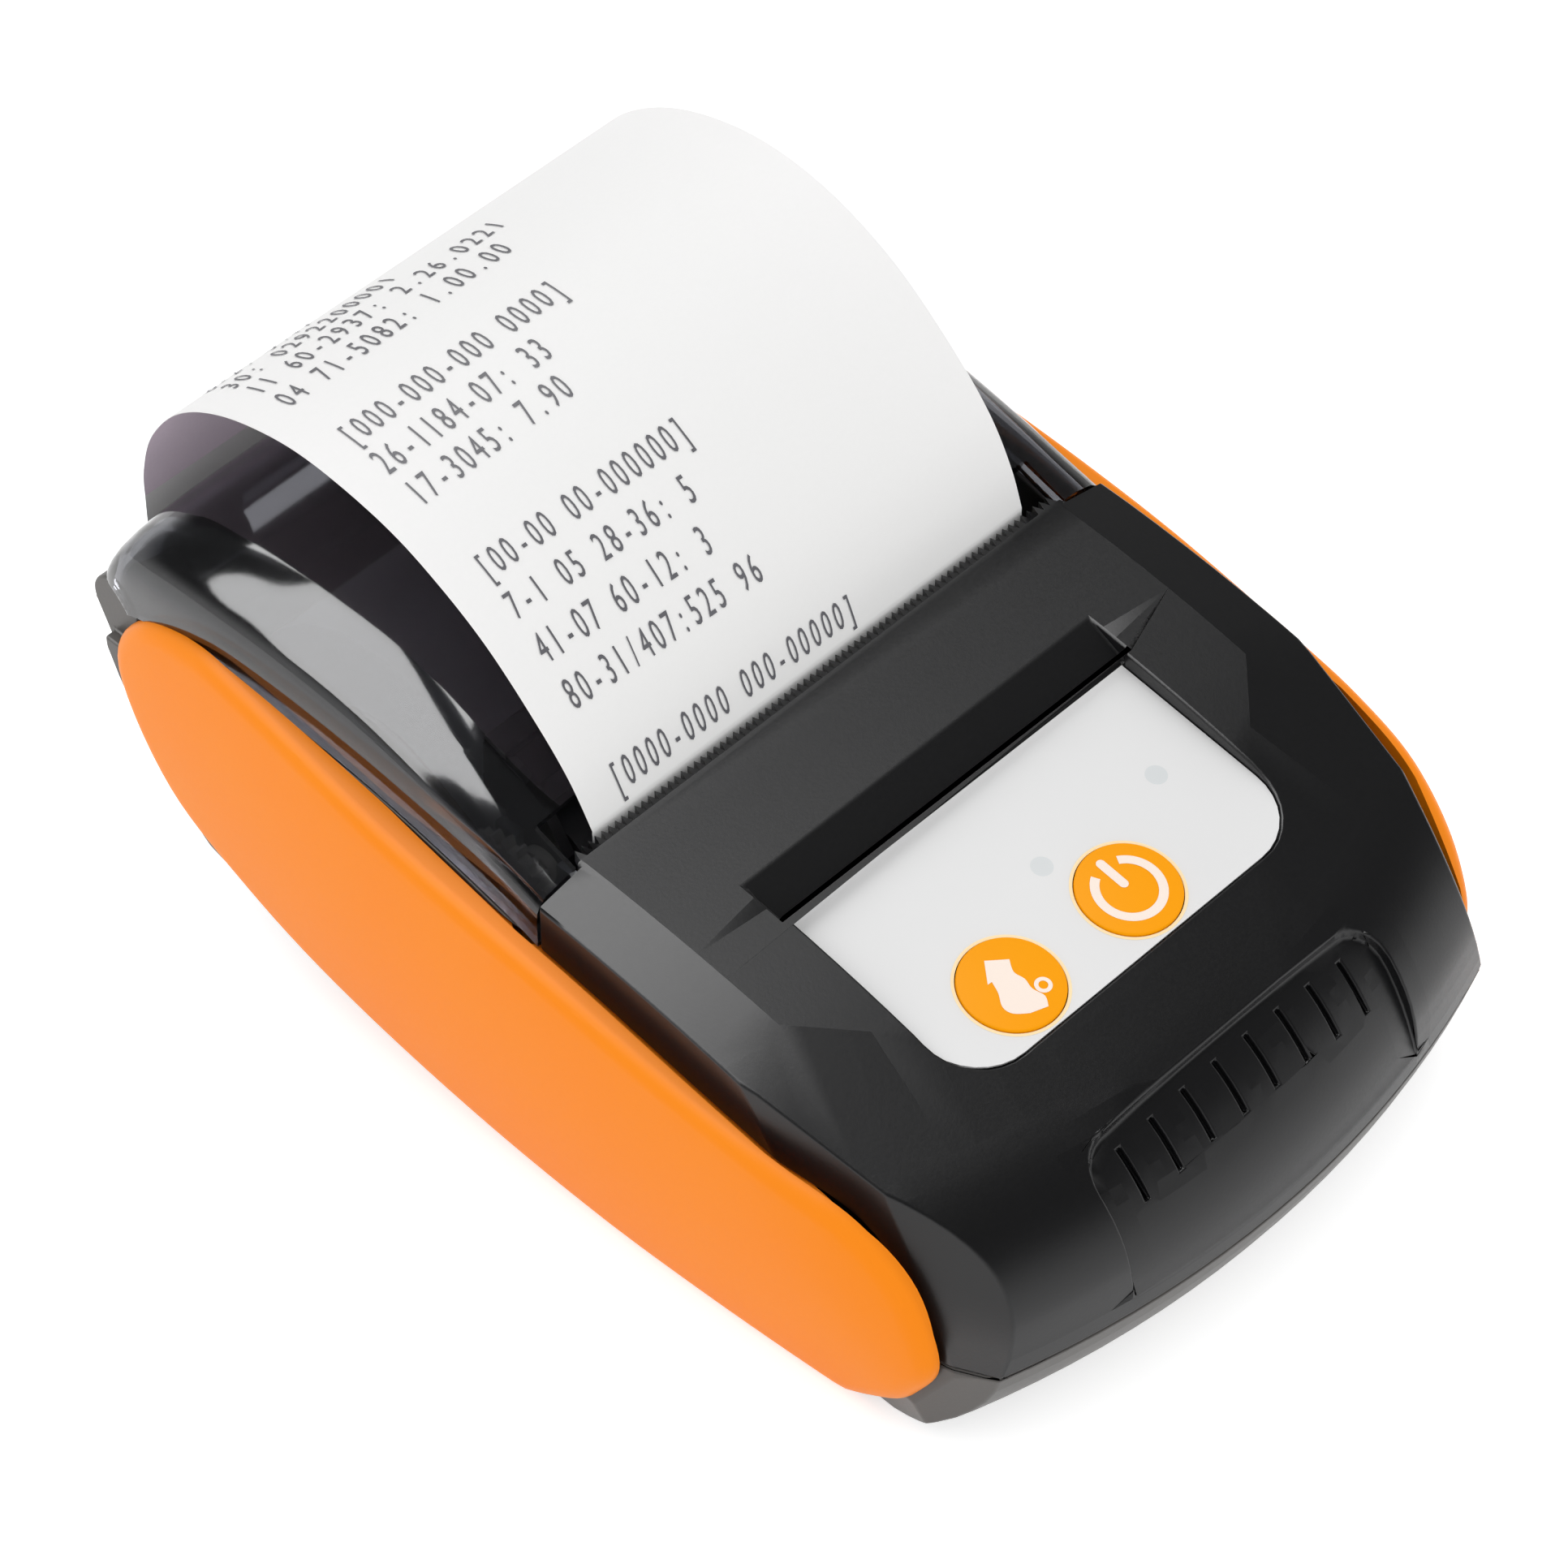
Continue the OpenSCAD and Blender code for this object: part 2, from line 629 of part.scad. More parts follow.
module indicator_leds() {
    color("#f4f4e8") on_pad() for (x = led_xs) translate([x, -led_s, -board_depth]) translate([-1, -0.7, 0]) cube([2, 1.4, 1]);
}

module key_board_screws() {
    color("#b8bcc0") on_pad() for (x = [-20.2, 20.2]) translate([x, -4, 0]) {
        translate([0, 0, -board_depth - board_t - 1]) cylinder(r = 1.6, h = 1, $fn = 32);
        translate([0, 0, -board_depth - board_t - 0.2]) cylinder(r = 0.7, h = 4.6, $fn = 32);
    }
}

module main_board() {
    color("#1d5c38") difference() {
        box([-33, main_front_y, main_z], [33, main_rear_y, main_z + 1.6]);
        for (p = main_post_pts) translate([p[0], p[1], main_z - 1]) cylinder(r = 1, h = 4, $fn = 32);
    }
}

module radio_module() {
    color("#c4c8cc") box([8, -38, main_z + 1.6], [24, -26, main_z + 3.8]);
}

module board_chips() {
    color("#202124") {
        box([-10, -32, main_z + 1.6], [0, -22, main_z + 2.8]);
        box([-24, -30, main_z + 1.6], [-17, -24, main_z + 3]);
        box([8.6, -23.2, main_z + 1.6], [27.4, -19.6, main_z + 4]);
    }
}

module board_screws() {
    color("#b8bcc0") for (p = main_post_pts) translate([p[0], p[1], 0]) {
        translate([0, 0, main_z + 1.6]) cylinder(r = 1.7, h = 1, $fn = 32);
        translate([0, 0, main_z - 4]) cylinder(r = 0.7, h = 6, $fn = 32);
    }
}

// Flat cable from the head's lower edge to its socket on the main board
module head_ribbon() {
    path = [[0.3, 19.8], [-0.2, 17.4], [-2.4, 15.7], [-6, 15.9], [-11, 17.4], [-19.6, 17.4]];
    line = smooth_open(path, 3);
    t = 0.3;
    color("#c9b27a") along_x(10, 26) polygon(concat([for (p = line) p + [0, t / 2 * 1.4]], [for (p = reverse(line)) p - [0, t / 2 * 1.4]]));
}

module battery_pack() {
    color("#3c6fb0") box([-door_half_w + 0.4, door_front_y + 0.4, 1.75], [door_half_w - 0.4, door_rear_y - 1.6, bay_roof_z - 1.5]);
}

module battery_contacts() {
    color("#d8b45a") for (x = [-12, -8, -4]) box([x - 0.8, door_rear_y - 1.5, 4], [x + 0.8, door_rear_y - 0.4, 9]);
}

module battery_door() {
    color("#26272a") {
        box([-door_half_w, door_front_y, 0.05], [door_half_w, door_rear_y, 0.9]);
        box([-door_half_w - 0.7, door_front_y + 0.1, 0.9], [door_half_w + 0.7, door_rear_y, 1.6]);
        for (i = [0:4]) box([-6, door_rear_y - 4.2 - i * 1.6, 1.5], [6, door_rear_y - 3.6 - i * 1.6, 1.7]);
    }
}

module usb_board() {
    color("#1d5c38") box([13, 49.4, 19.6], [31, 54.8, 20.8]);
}

module usb_socket() {
    color("#c8ccd0") difference() {
        box([18.2, 52, 20.8], [25.8, 58.2, 23.6]);
        box([18.6, 52.8, 21.2], [25.4, 60, 23.2]);
    }
    color("#c8ccd0") box([20, 52.7, 22], [24, 57.2, 22.6]);
}

// The trough that the roll lies in, with a cheek at each end
module paper_cradle() {
    color("#1f2023") {
        difference() {
            rod_x(cradle_y, cradle_z, cradle_r + cradle_wall, -31, 31, round_fn);
            rod_x(cradle_y, cradle_z, cradle_r, -29.4, 29.4, round_fn);
            box([-40, 0, 18.6], [40, 60, 60]);
            box([-40, 0, 11.4], [40, 17.2, 60]);
        }
    }
}

module plate_outline() {
    difference() {
        polygon([[-11, frame_bar_z], [12.5, frame_bar_z], [12.5, 34], [-1.5, 34], [-5.5, 28.5], [-11, 28.5]]);
        translate([platen_y, platen_z]) circle(r = bush_r + fit_gap, $fn = 48);
        translate([platen_y - bush_r - fit_gap, platen_z]) square([2 * (bush_r + fit_gap), 12]);
        translate([head_pivot_y, head_pivot_z]) circle(r = 1.25, $fn = 32);
    }
}

module mechanism_frame() {
    color("#9a9da1") difference() {
        union() {
            along_x(plate_x, plate_x + plate_t) plate_outline();
            along_x(-plate_x - plate_t, -plate_x) plate_outline();
            box([-plate_x, -11, frame_bar_z], [plate_x, -6, frame_bar_z + 1]);
        }
        rod_x(motor_y, motor_z, 1.4, -40, -20, 32);
        rod_x(idler_y, idler_z, 0.9, -40, -20, 32);
        for (p = frame_screw_pts) translate([p[0], p[1], 5]) cylinder(r = 1.1, h = 12, $fn = 32);
    }
}

module mechanism_screws() {
    color("#b8bcc0") for (p = frame_screw_pts) translate([p[0], p[1], 0]) {
        translate([0, 0, frame_bar_z + 1]) cylinder(r = 1.9, h = 1.2, $fn = 32);
        translate([0, 0, 4.4]) cylinder(r = 0.9, h = frame_bar_z - 3, $fn = 32);
    }
}

module paper_sensor() {
    color("#1a1a1c") {
        box([-3, 5, 19.5], [3, 7, 22.5]);
        box([-3, 1.5, wall], [3, 2.8, 21]);
        box([-3, 1.5, 19.5], [3, 5.5, 20.7]);
    }
}

module stepper_motor() {
    color("#b4b7bb") difference() {
        union() {
            rod_x(motor_y, motor_z, motor_r, -plate_x + 0.6, -plate_x + 0.6 + motor_len, 64);
            box([-plate_x, motor_y - 8.1, motor_z - 3], [-plate_x + 0.8, motor_y + 7, motor_z + 3]);
        }
        rod_x(motor_y, motor_z, 1.3, -plate_x - 1, -plate_x + 6, 32);
    }
}

// An outline of involute-like teeth with a little play, first tooth at angle a0
function tooth_side(r, m, n, play) = let (rp = m * n / 2, rb = rp * cos(20),
    inv20 = tan(20) - 20 * PI / 180, ra = max(r, rb), phi = acos(rb / ra), inv = tan(phi) - phi * PI / 180)
    (90 / n) - (play / 2 / rp) * 180 / PI + (inv20 - inv) * 180 / PI;
function gear_outline(m, n, a0, play) = let (rp = m * n / 2, radii = [rp - 1.2 * m, rp - 0.6 * m, rp, rp + 0.45 * m, rp + 0.85 * m])
    [for (i = [0:n - 1]) for (s = [-1, 1]) for (k = [0:4]) let (r = radii[s < 0 ? k : 4 - k],
        a = a0 + i * 360 / n + s * tooth_side(r, m, n, play)) r * [cos(a), sin(a)]];

module spur(y, z, n, a0, x0, x1) {
    along_x(x0, x1) translate([y, z]) polygon(gear_outline(gear_m, n, a0, 0.14));
}

module motor_shaft() {
    color("#c8ccd0") rod_x(motor_y, motor_z, 1, -layer_b_x - gear_t - 0.3, -plate_x + 5.4, 32);
}

module motor_pinion() {
    color("#c9a24a") difference() {
        spur(motor_y, motor_z, motor_teeth, motor_dir + 180 + 180 / motor_teeth, -layer_b_x - gear_t, -layer_b_x);
        rod_x(motor_y, motor_z, 1, -40, -20, 32);
    }
}

module idler_axle() {
    color("#c8ccd0") rod_x(idler_y, idler_z, 0.9, -layer_a_x - gear_t - 0.5, -plate_x, 32);
}

module idler_gear() {
    color("#ece9df") difference() {
        union() {
            spur(idler_y, idler_z, idler_large_teeth, motor_dir, -layer_b_x - gear_t, -layer_b_x);
            spur(idler_y, idler_z, idler_small_teeth, 90, -layer_a_x - gear_t, -layer_b_x - gear_t / 2);
        }
        rod_x(idler_y, idler_z, 0.95, -40, -20, 32);
    }
}

module head_heatsink() {
    color("#aeb2b6") {
        box([-27, head_face_y - 3, 20.4], [27, head_face_y - 0.8, 35.6]);
        for (s = [-1, 1]) rod_x(head_pivot_y, head_pivot_z, 1.2, s > 0 ? 26.9 : -31.6, s > 0 ? 31.6 : -26.9, 32);
    }
}

module thermal_head() {
    color("#e9e2cf") {
        box([-26.5, head_face_y - 0.8, 24], [26.5, head_face_y - 0.12, 35]);
        box([-24, head_face_y - 0.13, platen_z - 0.5], [24, head_face_y, platen_z + 0.5]);
    }
}

// Leaf spring that presses the head onto the platen
module head_spring() {
    back = head_face_y - 3;
    foot_z = frame_bar_z + 1;
    color("#c8ccd0") along_x(-8, 8) polygon([[-10, foot_z], [-10, foot_z + 0.3], [-6.6, foot_z + 0.3],
        [back - 0.7, 30], [back - 0.9, 33], [back - 0.6, 33], [back - 0.35, 30], [-6.3, foot_z]]);
}

module platen_shaft() {
    color("#c8ccd0") rod_x(platen_y, platen_z, shaft_r, -layer_a_x - gear_t - 0.4, plate_x + plate_t + 0.6);
}

module platen_rubber() {
    color("#1b1b1d") difference() {
        rod_x(platen_y, platen_z, platen_r, -28.6, 28.6, 64);
        rod_x(platen_y, platen_z, shaft_r, -30, 30);
    }
}

module platen_gear() {
    color("#ece9df") difference() {
        spur(platen_y, platen_z, platen_teeth, -90 + 180 / platen_teeth, -layer_a_x - gear_t, -layer_a_x);
        rod_x(platen_y, platen_z, shaft_r, -40, -20);
    }
}

module platen_bushes() {
    color("#e8e4d8") mirrored_pair() difference() {
        rod_x(platen_y, platen_z, bush_r, plate_x, plate_x + plate_t);
        rod_x(platen_y, platen_z, shaft_r + 0.05, plate_x - 1, plate_x + plate_t + 1);
    }
}

// Cross bar under the lid with two arms that carry the platen shaft
module platen_carrier() {
    color("#1d1e21") difference() {
        union() {
            box([-30, 12.4, 34.6], [30, 15.2, 42.2]);
            mirrored_pair() along_x(29, 30.2) polygon([[15.2, 34.6], [15.2, 41.4], [11, 40.8], [7.5, 38.5], [4.6, 34], [4.6, 29.5],
                [6, 27.8], [8.6, 27.8], [10.2, 29.5], [12.4, 34.6]]);
        }
        rod_x(platen_y, platen_z, shaft_r + 0.05, -40, 40);
    }
}

// One ring of the lid: a squared arch from the left lower edge over the crown to the right one
function arch_radius(a, n) = pow(pow(abs(cos(a)), n) + pow(abs(sin(a)), n), -1 / n);
function lid_ring(s, inset, drop) = let (w = s[2] - inset, top = s[1] - inset, low = s[3] - drop)
    [for (a = lid_angles) let (r = arch_radius(a, s[4]))
        [w * r * cos(a), s[0], low + (top - low) * r * sin(a)]];

module loft(rings) {
    n = len(rings[0]);
    m = len(rings);
    points = [for (r = rings) for (p = r) p];
    sides = [for (j = [0:m - 2]) for (i = [0:n - 1]) let (k = (i + 1) % n)
        each [[j * n + i, j * n + k, (j + 1) * n + k], [j * n + i, (j + 1) * n + k, (j + 1) * n + i]]];
    first = [for (i = [n - 1:-1:0]) i];
    last = [for (i = [0:n - 1]) (m - 1) * n + i];
    polyhedron(points, concat(sides, [first, last]), convexity = 6);
}

module lid_block(inset, drop, y0, y1) {
    used = [for (s = lid_stations) if (s[0] >= y0 && s[0] <= y1) reverse(lid_ring(s, inset, drop))];
    loft(used);
}

module lid_knuckle(x0, x1) {
    along_x(x0, x1) polygon([[hinge_y - 2.6, hinge_z - 1.2], [hinge_y, hinge_z - 2.8], [hinge_y + 2.8, hinge_z], [hinge_y + 1.2, 35.8], [hinge_y - 1.8, 39]]);
    rod_x(hinge_y, hinge_z, knuckle_r - 0.2, x0, x1);
}

module paper_lid() {
    color([0.16, 0.17, 0.18, 0.55]) difference() {
        union() {
            difference() {
                lid_block(0, 0, 0, 61);
                translate([0, -1, 0]) lid_block(lid_wall, 2, 0, 61);
                // Mouth for the platen and paper between the two front tabs
                box([-32.7, -1, 20], [32.7, 5.6, 60]);
            }
            mirrored_pair() lid_knuckle(21, 28.6);
        }
        mirrored_pair() rod_x(hinge_y, hinge_z, knuckle_r + 0.4, 28.7, 36.9);
        mirrored_pair() rod_x(hinge_y, hinge_z, hinge_pin_r + 0.05, 20, 29, 32);
        box([-40, 57, 20], [40, 59.6, rear_wall_top_z + 0.6]);
    }
}

module hinge_pins() {
    color("#c8ccd0") mirrored_pair() rod_x(hinge_y, hinge_z, hinge_pin_r, 20.6, 35.3, 32);
}

module paper_roll() {
    color("#f2f2ef") difference() {
        rod_x(roll_y, roll_z, roll_r, -paper_w / 2, paper_w / 2, round_fn);
        rod_x(roll_y, roll_z, core_r, -40, 40, 64);
    }
}

module roll_core() {
    color("#b99a6b") difference() {
        rod_x(roll_y, roll_z, core_r, -paper_w / 2 + 0.2, paper_w / 2 - 0.2, 64);
        rod_x(roll_y, roll_z, core_bore_r, -40, 40, 64);
    }
}

// The web's path inside: off the roll's front, straight to the platen, round its front and up to the tear edge
nip_r = platen_r + 0.15 + paper_t / 2;
off_r = roll_r + 0.3 + paper_t / 2;
between = [roll_y - platen_y, roll_z - platen_z];
between_len = norm(between);
leave_dir = atan2(between[1], between[0]) - acos((nip_r - off_r) / between_len);
web_start = [roll_y, roll_z] + off_r * [cos(leave_dir), sin(leave_dir)];
web_end = [platen_y, platen_z] + nip_r * [cos(leave_dir), sin(leave_dir)];
web_gap = 0.15;
inner_path = concat([web_start + web_gap * (web_end - web_start)],
    arc([platen_y, platen_z], nip_r, leave_dir + 360, 180, 5), [[platen_y - nip_r - 0.02, 35]]);

function strip_points(edge) = concat(inner_path, smooth_open(edge, strip_steps));
function path_normal(p, i) = let (d = p[min(i + 1, len(p) - 1)] - p[max(i - 1, 0)]) [-d[1], d[0]] / norm(d);

module paper_strip() {
    left = strip_points(strip_left);
    right = strip_points(strip_right);
    h = paper_t / 2;
    rings = [for (i = [0:len(left) - 1]) let (a = left[i], b = right[i], na = path_normal(left, i) * h, nb = path_normal(right, i) * h)
        [[-paper_w / 2, a[0] + na[0], a[1] + na[1]], [paper_w / 2, b[0] + nb[0], b[1] + nb[1]],
         [paper_w / 2, b[0] - nb[0], b[1] - nb[1]], [-paper_w / 2, a[0] - na[0], a[1] - na[1]]]];
    color("#fafaf8") loft([for (r = rings) reverse(r)]);
}

module case_screws() {
    color("#b8bcc0") for (p = pillar_pts) translate([p[0], p[1], 0]) {
        translate([0, 0, 3.4]) cylinder(r = 1.9, h = 1.6, $fn = 32);
        translate([0, 0, 4.8]) cylinder(r = 1, h = 15, $fn = 32);
    }
}

bottom_case();
top_cover();
side_panel_left();
side_panel_right();
keypad_overlay();
indicator_lenses();
feed_button();
power_button();
key_board();
tact_switches();
indicator_leds();
key_board_screws();
main_board();
radio_module();
board_chips();
board_screws();
head_ribbon();
battery_pack();
battery_contacts();
battery_door();
usb_board();
usb_socket();
paper_cradle();
mechanism_frame();
mechanism_screws();
paper_sensor();
stepper_motor();
motor_shaft();
motor_pinion();
idler_axle();
idler_gear();
head_heatsink();
thermal_head();
head_spring();
platen_shaft();
platen_rubber();
platen_gear();
platen_bushes();
platen_carrier();
paper_lid();
hinge_pins();
paper_roll();
roll_core();
paper_strip();
case_screws();
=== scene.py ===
"""Looks of a pocket thermal receipt printer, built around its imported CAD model.

Lengths in the classes are millimetres in the part's own frame (+X right, +Y rear, +Z up);
meshes are stored in metres.
"""

import json
import logging
import math
from dataclasses import dataclass
from enum import Enum
from functools import cache
from typing import Callable, Iterable, Sequence

import bmesh
import bpy
from mathutils import Matrix, Vector


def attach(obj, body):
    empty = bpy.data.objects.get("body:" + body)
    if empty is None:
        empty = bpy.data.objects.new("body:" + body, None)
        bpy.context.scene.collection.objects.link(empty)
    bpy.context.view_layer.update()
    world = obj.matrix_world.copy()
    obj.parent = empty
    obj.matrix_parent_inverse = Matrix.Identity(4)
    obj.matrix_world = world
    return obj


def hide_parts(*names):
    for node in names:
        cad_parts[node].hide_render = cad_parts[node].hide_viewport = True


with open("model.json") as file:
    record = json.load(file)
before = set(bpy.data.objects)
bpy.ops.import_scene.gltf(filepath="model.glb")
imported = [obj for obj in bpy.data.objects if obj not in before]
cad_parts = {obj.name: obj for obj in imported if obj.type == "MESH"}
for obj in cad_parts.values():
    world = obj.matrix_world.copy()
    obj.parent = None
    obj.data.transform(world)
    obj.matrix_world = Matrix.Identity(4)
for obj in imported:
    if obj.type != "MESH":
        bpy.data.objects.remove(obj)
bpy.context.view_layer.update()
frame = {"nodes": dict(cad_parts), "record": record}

log = logging.getLogger("receipt_printer")
MM = 0.001
# Side of the square picture that the camera's focal length is given for
IMAGE_PX = 1932.0
WHITE = (1.0, 1.0, 1.0, 1.0)
Point = tuple[float, float]
Triple = tuple[float, float, float]
Socket = bpy.types.NodeSocket
Shape = bmesh.types.BMesh
Piece = bpy.types.Object
Material = bpy.types.Material


# Small helpers


def linear(code: str) -> tuple[float, float, float, float]:
    """Turn an sRGB hex colour into linear RGBA.

    Args:
        code: Colour such as "#FF8C3A".

    Returns:
        Linear red, green, blue and alpha 1.
    """
    parts = [int(code[i : i + 2], 16) / 255.0 for i in (1, 3, 5)]
    parts = [c / 12.92 if c <= 0.04045 else ((c + 0.055) / 1.055) ** 2.4 for c in parts]
    return parts[0], parts[1], parts[2], 1.0


def between(knots: Iterable[Sequence[float]], t: float) -> list[float]:
    """Interpolate smoothly on the middle span of four neighbours.

    Args:
        knots: Four sets of values, which the curve runs through.
        t: Share of the way from the second to the third.

    Returns:
        The values at t.
    """
    return [
        0.5 * (2 * b + (c - a) * t + (2 * a - 5 * b + 4 * c - d) * t * t + (3 * b - a - 3 * c + d) * t**3)
        for a, b, c, d in zip(*knots)
    ]


def smooth_curve(points: Sequence[Point], steps: int, closed: bool = False) -> list[Point]:
    """Run a smooth curve through points.

    Args:
        points: Points in a plane.
        steps: Pieces between two neighbouring points.
        closed: Whether the last point joins the first.

    Returns:
        Points along the curve.
    """
    count = len(points)
    curve: list[Point] = []
    for i in range(count if closed else count - 1):
        knots = [points[k % count if closed else min(max(k, 0), count - 1)] for k in range(i - 1, i + 3)]
        curve += [tuple(between(knots, k / steps)) for k in range(steps)]
    if not closed:
        curve.append(tuple(points[-1]))
    return curve


def to_object(bm: Shape, name: str, smooth_deg: float = 35.0) -> Piece:
    """Store a bmesh, drawn in millimetres, as an object in metres.

    Args:
        bm: The shape; it is freed here.
        name: Name of the piece.
        smooth_deg: Edges sharper than this stay sharp in shading.

    Returns:
        The new object, linked to the scene.
    """
    bm.transform(Matrix.Scale(MM, 4))
    mesh = bpy.data.meshes.new(name)
    bm.to_mesh(mesh)
    bm.free()
    mesh.shade_smooth()
    mesh.set_sharp_from_angle(angle=math.radians(smooth_deg))
    return in_scene(name, mesh)


def in_scene(name: str, data: bpy.types.ID) -> Piece:
    """Make an object of its data and link it to the scene."""
    obj = bpy.data.objects.new(name, data)
    bpy.context.scene.collection.objects.link(obj)
    return obj


def evaluated_mesh(obj: Piece) -> bpy.types.Mesh:
    """Make a mesh of an object as its modifiers or its font draw it."""
    bpy.context.view_layer.update()
    return bpy.data.meshes.new_from_object(obj.evaluated_get(bpy.context.evaluated_depsgraph_get()))


def merge(bm: Shape, part: Shape) -> None:
    """Add a second shape to a first and free the second."""
    held = bpy.data.meshes.new("held")
    part.to_mesh(held)
    part.free()
    bm.from_mesh(held)
    bpy.data.meshes.remove(held)


def finish_piece(obj: Piece, body: str, finish: "Finish", replaces: Sequence[str] = ()) -> None:
    """Give a piece its finish and body, and report it.

    Args:
        obj: The piece.
        body: CAD body that it rides on.
        finish: Its finish.
        replaces: CAD nodes that it stands for.
    """
    obj.data.materials.clear()
    obj.data.materials.append(finish.material())
    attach(obj, body)
    if replaces:
        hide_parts(*replaces)
    log.info("%s: %d faces on %s", obj.name, len(obj.data.polygons), body)


def bevelled(obj: Piece, width: float, segments: int, angle_deg: float = 40.0) -> bpy.types.Modifier:
    """Round an object's sharp edges with a modifier of the same level everywhere.

    Args:
        obj: The piece.
        width: Bevel width in millimetres.
        segments: Steps in the rounding.
        angle_deg: Edges sharper than this are rounded.

    Returns:
        The modifier.
    """
    mod = obj.modifiers.new("edge_rounding", "BEVEL")
    mod.width = width * MM
    mod.segments = segments
    mod.limit_method = "ANGLE"
    mod.angle_limit = math.radians(angle_deg)
    return mod


def carved(obj: Piece, cutters: Iterable[Piece]) -> None:
    """Cut shapes out of a piece and keep the result as its mesh.

    Args:
        obj: The piece.
        cutters: Closed shapes to take away; they are removed here.
    """
    tools = list(cutters)
    for tool in tools:
        mod = obj.modifiers.new("cut", "BOOLEAN")
        mod.operation = "DIFFERENCE"
        mod.solver = "MANIFOLD"
        mod.object = tool
    result = evaluated_mesh(obj)
    obj.modifiers.clear()
    obj.data = result
    for tool in tools:
        bpy.data.objects.remove(tool)


def rod(bm: Shape, place: Matrix, radius: float, length: float, segments: int) -> None:
    """Add a cylinder.

    Args:
        bm: Mesh that takes it.
        place: Its placement; its own axis is Z.
        radius: Its radius.
        length: Its length, half on either side of the place.
        segments: Sides of the circle.
    """
    bmesh.ops.create_cone(
        bm, cap_ends=True, segments=segments, radius1=radius, radius2=radius, depth=length, matrix=place
    )


def plate(bm: Shape, outline: Sequence[Sequence[float]], rise: Sequence[float]) -> None:
    """Extrude a flat outline.

    Args:
        bm: Mesh that takes it.
        outline: Corner points in space, in order.
        rise: Direction and length of the extrusion.
    """
    face = bm.faces.new([bm.verts.new(p) for p in outline])
    grown = bmesh.ops.extrude_face_region(bm, geom=[face])["geom"]
    bmesh.ops.translate(bm, verts=[g for g in grown if isinstance(g, bmesh.types.BMVert)], vec=rise)


def face_up(bm: Shape) -> None:
    """Turn the faces of an open sheet upwards."""
    bmesh.ops.recalc_face_normals(bm, faces=bm.faces)
    if sum(f.normal.z for f in bm.faces) < 0:
        bmesh.ops.reverse_faces(bm, faces=bm.faces)


def bisect(bm: Shape, place: Sequence[float], normal: Sequence[float]) -> None:
    """Cut new edges into a shape along a plane."""
    bmesh.ops.bisect_plane(bm, geom=bm.verts[:] + bm.edges[:] + bm.faces[:], plane_co=place, plane_no=normal)


# Finishes


class Recipe:
    """Shader nodes in the making, of a material or the world, with the steps that the finishes share."""

    def __init__(self, holder: Material | bpy.types.World, place: str = "Object") -> None:
        """Clear the holder's nodes; place names the coordinates that its textures read."""
        self.holder = holder
        holder.use_nodes = True
        self.tree = holder.node_tree
        self.tree.nodes.clear()
        self.place = self.add("TexCoord", at=place)

    def add(
        self,
        kind: str,
        settings: dict[str | int, object] | None = None,
        links: dict[str | int, Socket] | None = None,
        at: str | int = 0,
    ) -> Socket:
        """Add a node with its settings and links.

        Args:
            kind: Node type without its prefix, such as "TexNoise".
            settings: Node properties, or input defaults by input name or index.
            links: Input name or index to the output socket that feeds it.
            at: Name or index of the output that is wanted.

        Returns:
            That output.
        """
        node = self.tree.nodes.new("ShaderNode" + kind)
        for key, value in (settings or {}).items():
            if isinstance(key, str) and hasattr(node, key):
                setattr(node, key, value)
            else:
                node.inputs[key].default_value = value
        for key, socket in (links or {}).items():
            self.tree.links.new(socket, node.inputs[key])
        return node.outputs[at]

    def noise(
        self, size_mm: float, detail: float, place: Socket | None = None, roughness: float = 0.5
    ) -> Socket:
        """Add noise.

        Args:
            size_mm: Size of its largest grain.
            detail: Octaves.
            place: Where it is read; Object coordinates if left out.
            roughness: Weight of the finer octaves.

        Returns:
            A share of 0 to 1.
        """
        values = {"Scale": 1 / (size_mm * MM), "Detail": detail, "Roughness": roughness}
        return self.add("TexNoise", values, {"Vector": place or self.place})

    def two_tone(self, colour: str, shade: str, share: Socket) -> Socket:
        """Mix two sRGB colours by a share."""
        tones = {"data_type": "RGBA", 6: linear(colour), 7: linear(shade)}
        return self.add("Mix", tones, {0: share}, 2)

    def spread(self, low: float, high: float, share: Socket) -> Socket:
        """Stretch a share of 0 to 1 over a range."""
        return self.add("MapRange", {"To Min": low, "To Max": high}, {"Value": share})

    def relief(self, strength: float, height_mm: float, share: Socket, **base: Socket) -> Socket:
        """Add a bump of a real height, on the mesh's own normal or on a base called Normal."""
        sizes = {"Strength": strength, "Distance": height_mm * MM}
        return self.add("Bump", sizes, {"Height": share, **base})

    def principled(self, settings: dict[str, float], **links: Socket) -> Socket:
        """Add the surface shader.

        Args:
            settings: Constant inputs by name.
            links: Sockets for Base_Color, Roughness and Normal, with a low line for a blank.

        Returns:
            Its output.
        """
        fed = {name.replace("_", " "): socket for name, socket in links.items()}
        return self.add("BsdfPrincipled", settings, fed)

    def rays(self, *kinds: str) -> Socket:
        """One for rays of these kinds of the Light Path node, otherwise nought."""
        path = self.add("LightPath").node.outputs
        total = path[kinds[0]]
        for kind in kinds[1:]:
            total = self.add("Math", {"operation": "ADD", "use_clamp": True}, {0: total, 1: path[kind]})
        return total

    def blend(self, share: Socket, first: Socket, second: Socket) -> Socket:
        """Mix two shaders by a share."""
        return self.add("MixShader", {}, {0: share, 1: first, 2: second})

    def close(self, shader: Socket, kind: str = "OutputMaterial") -> Material | bpy.types.World:
        """Wire the shader to the output and return the holder."""
        output = self.tree.nodes.new("ShaderNode" + kind)
        self.tree.links.new(shader, output.inputs["Surface"])
        return self.holder


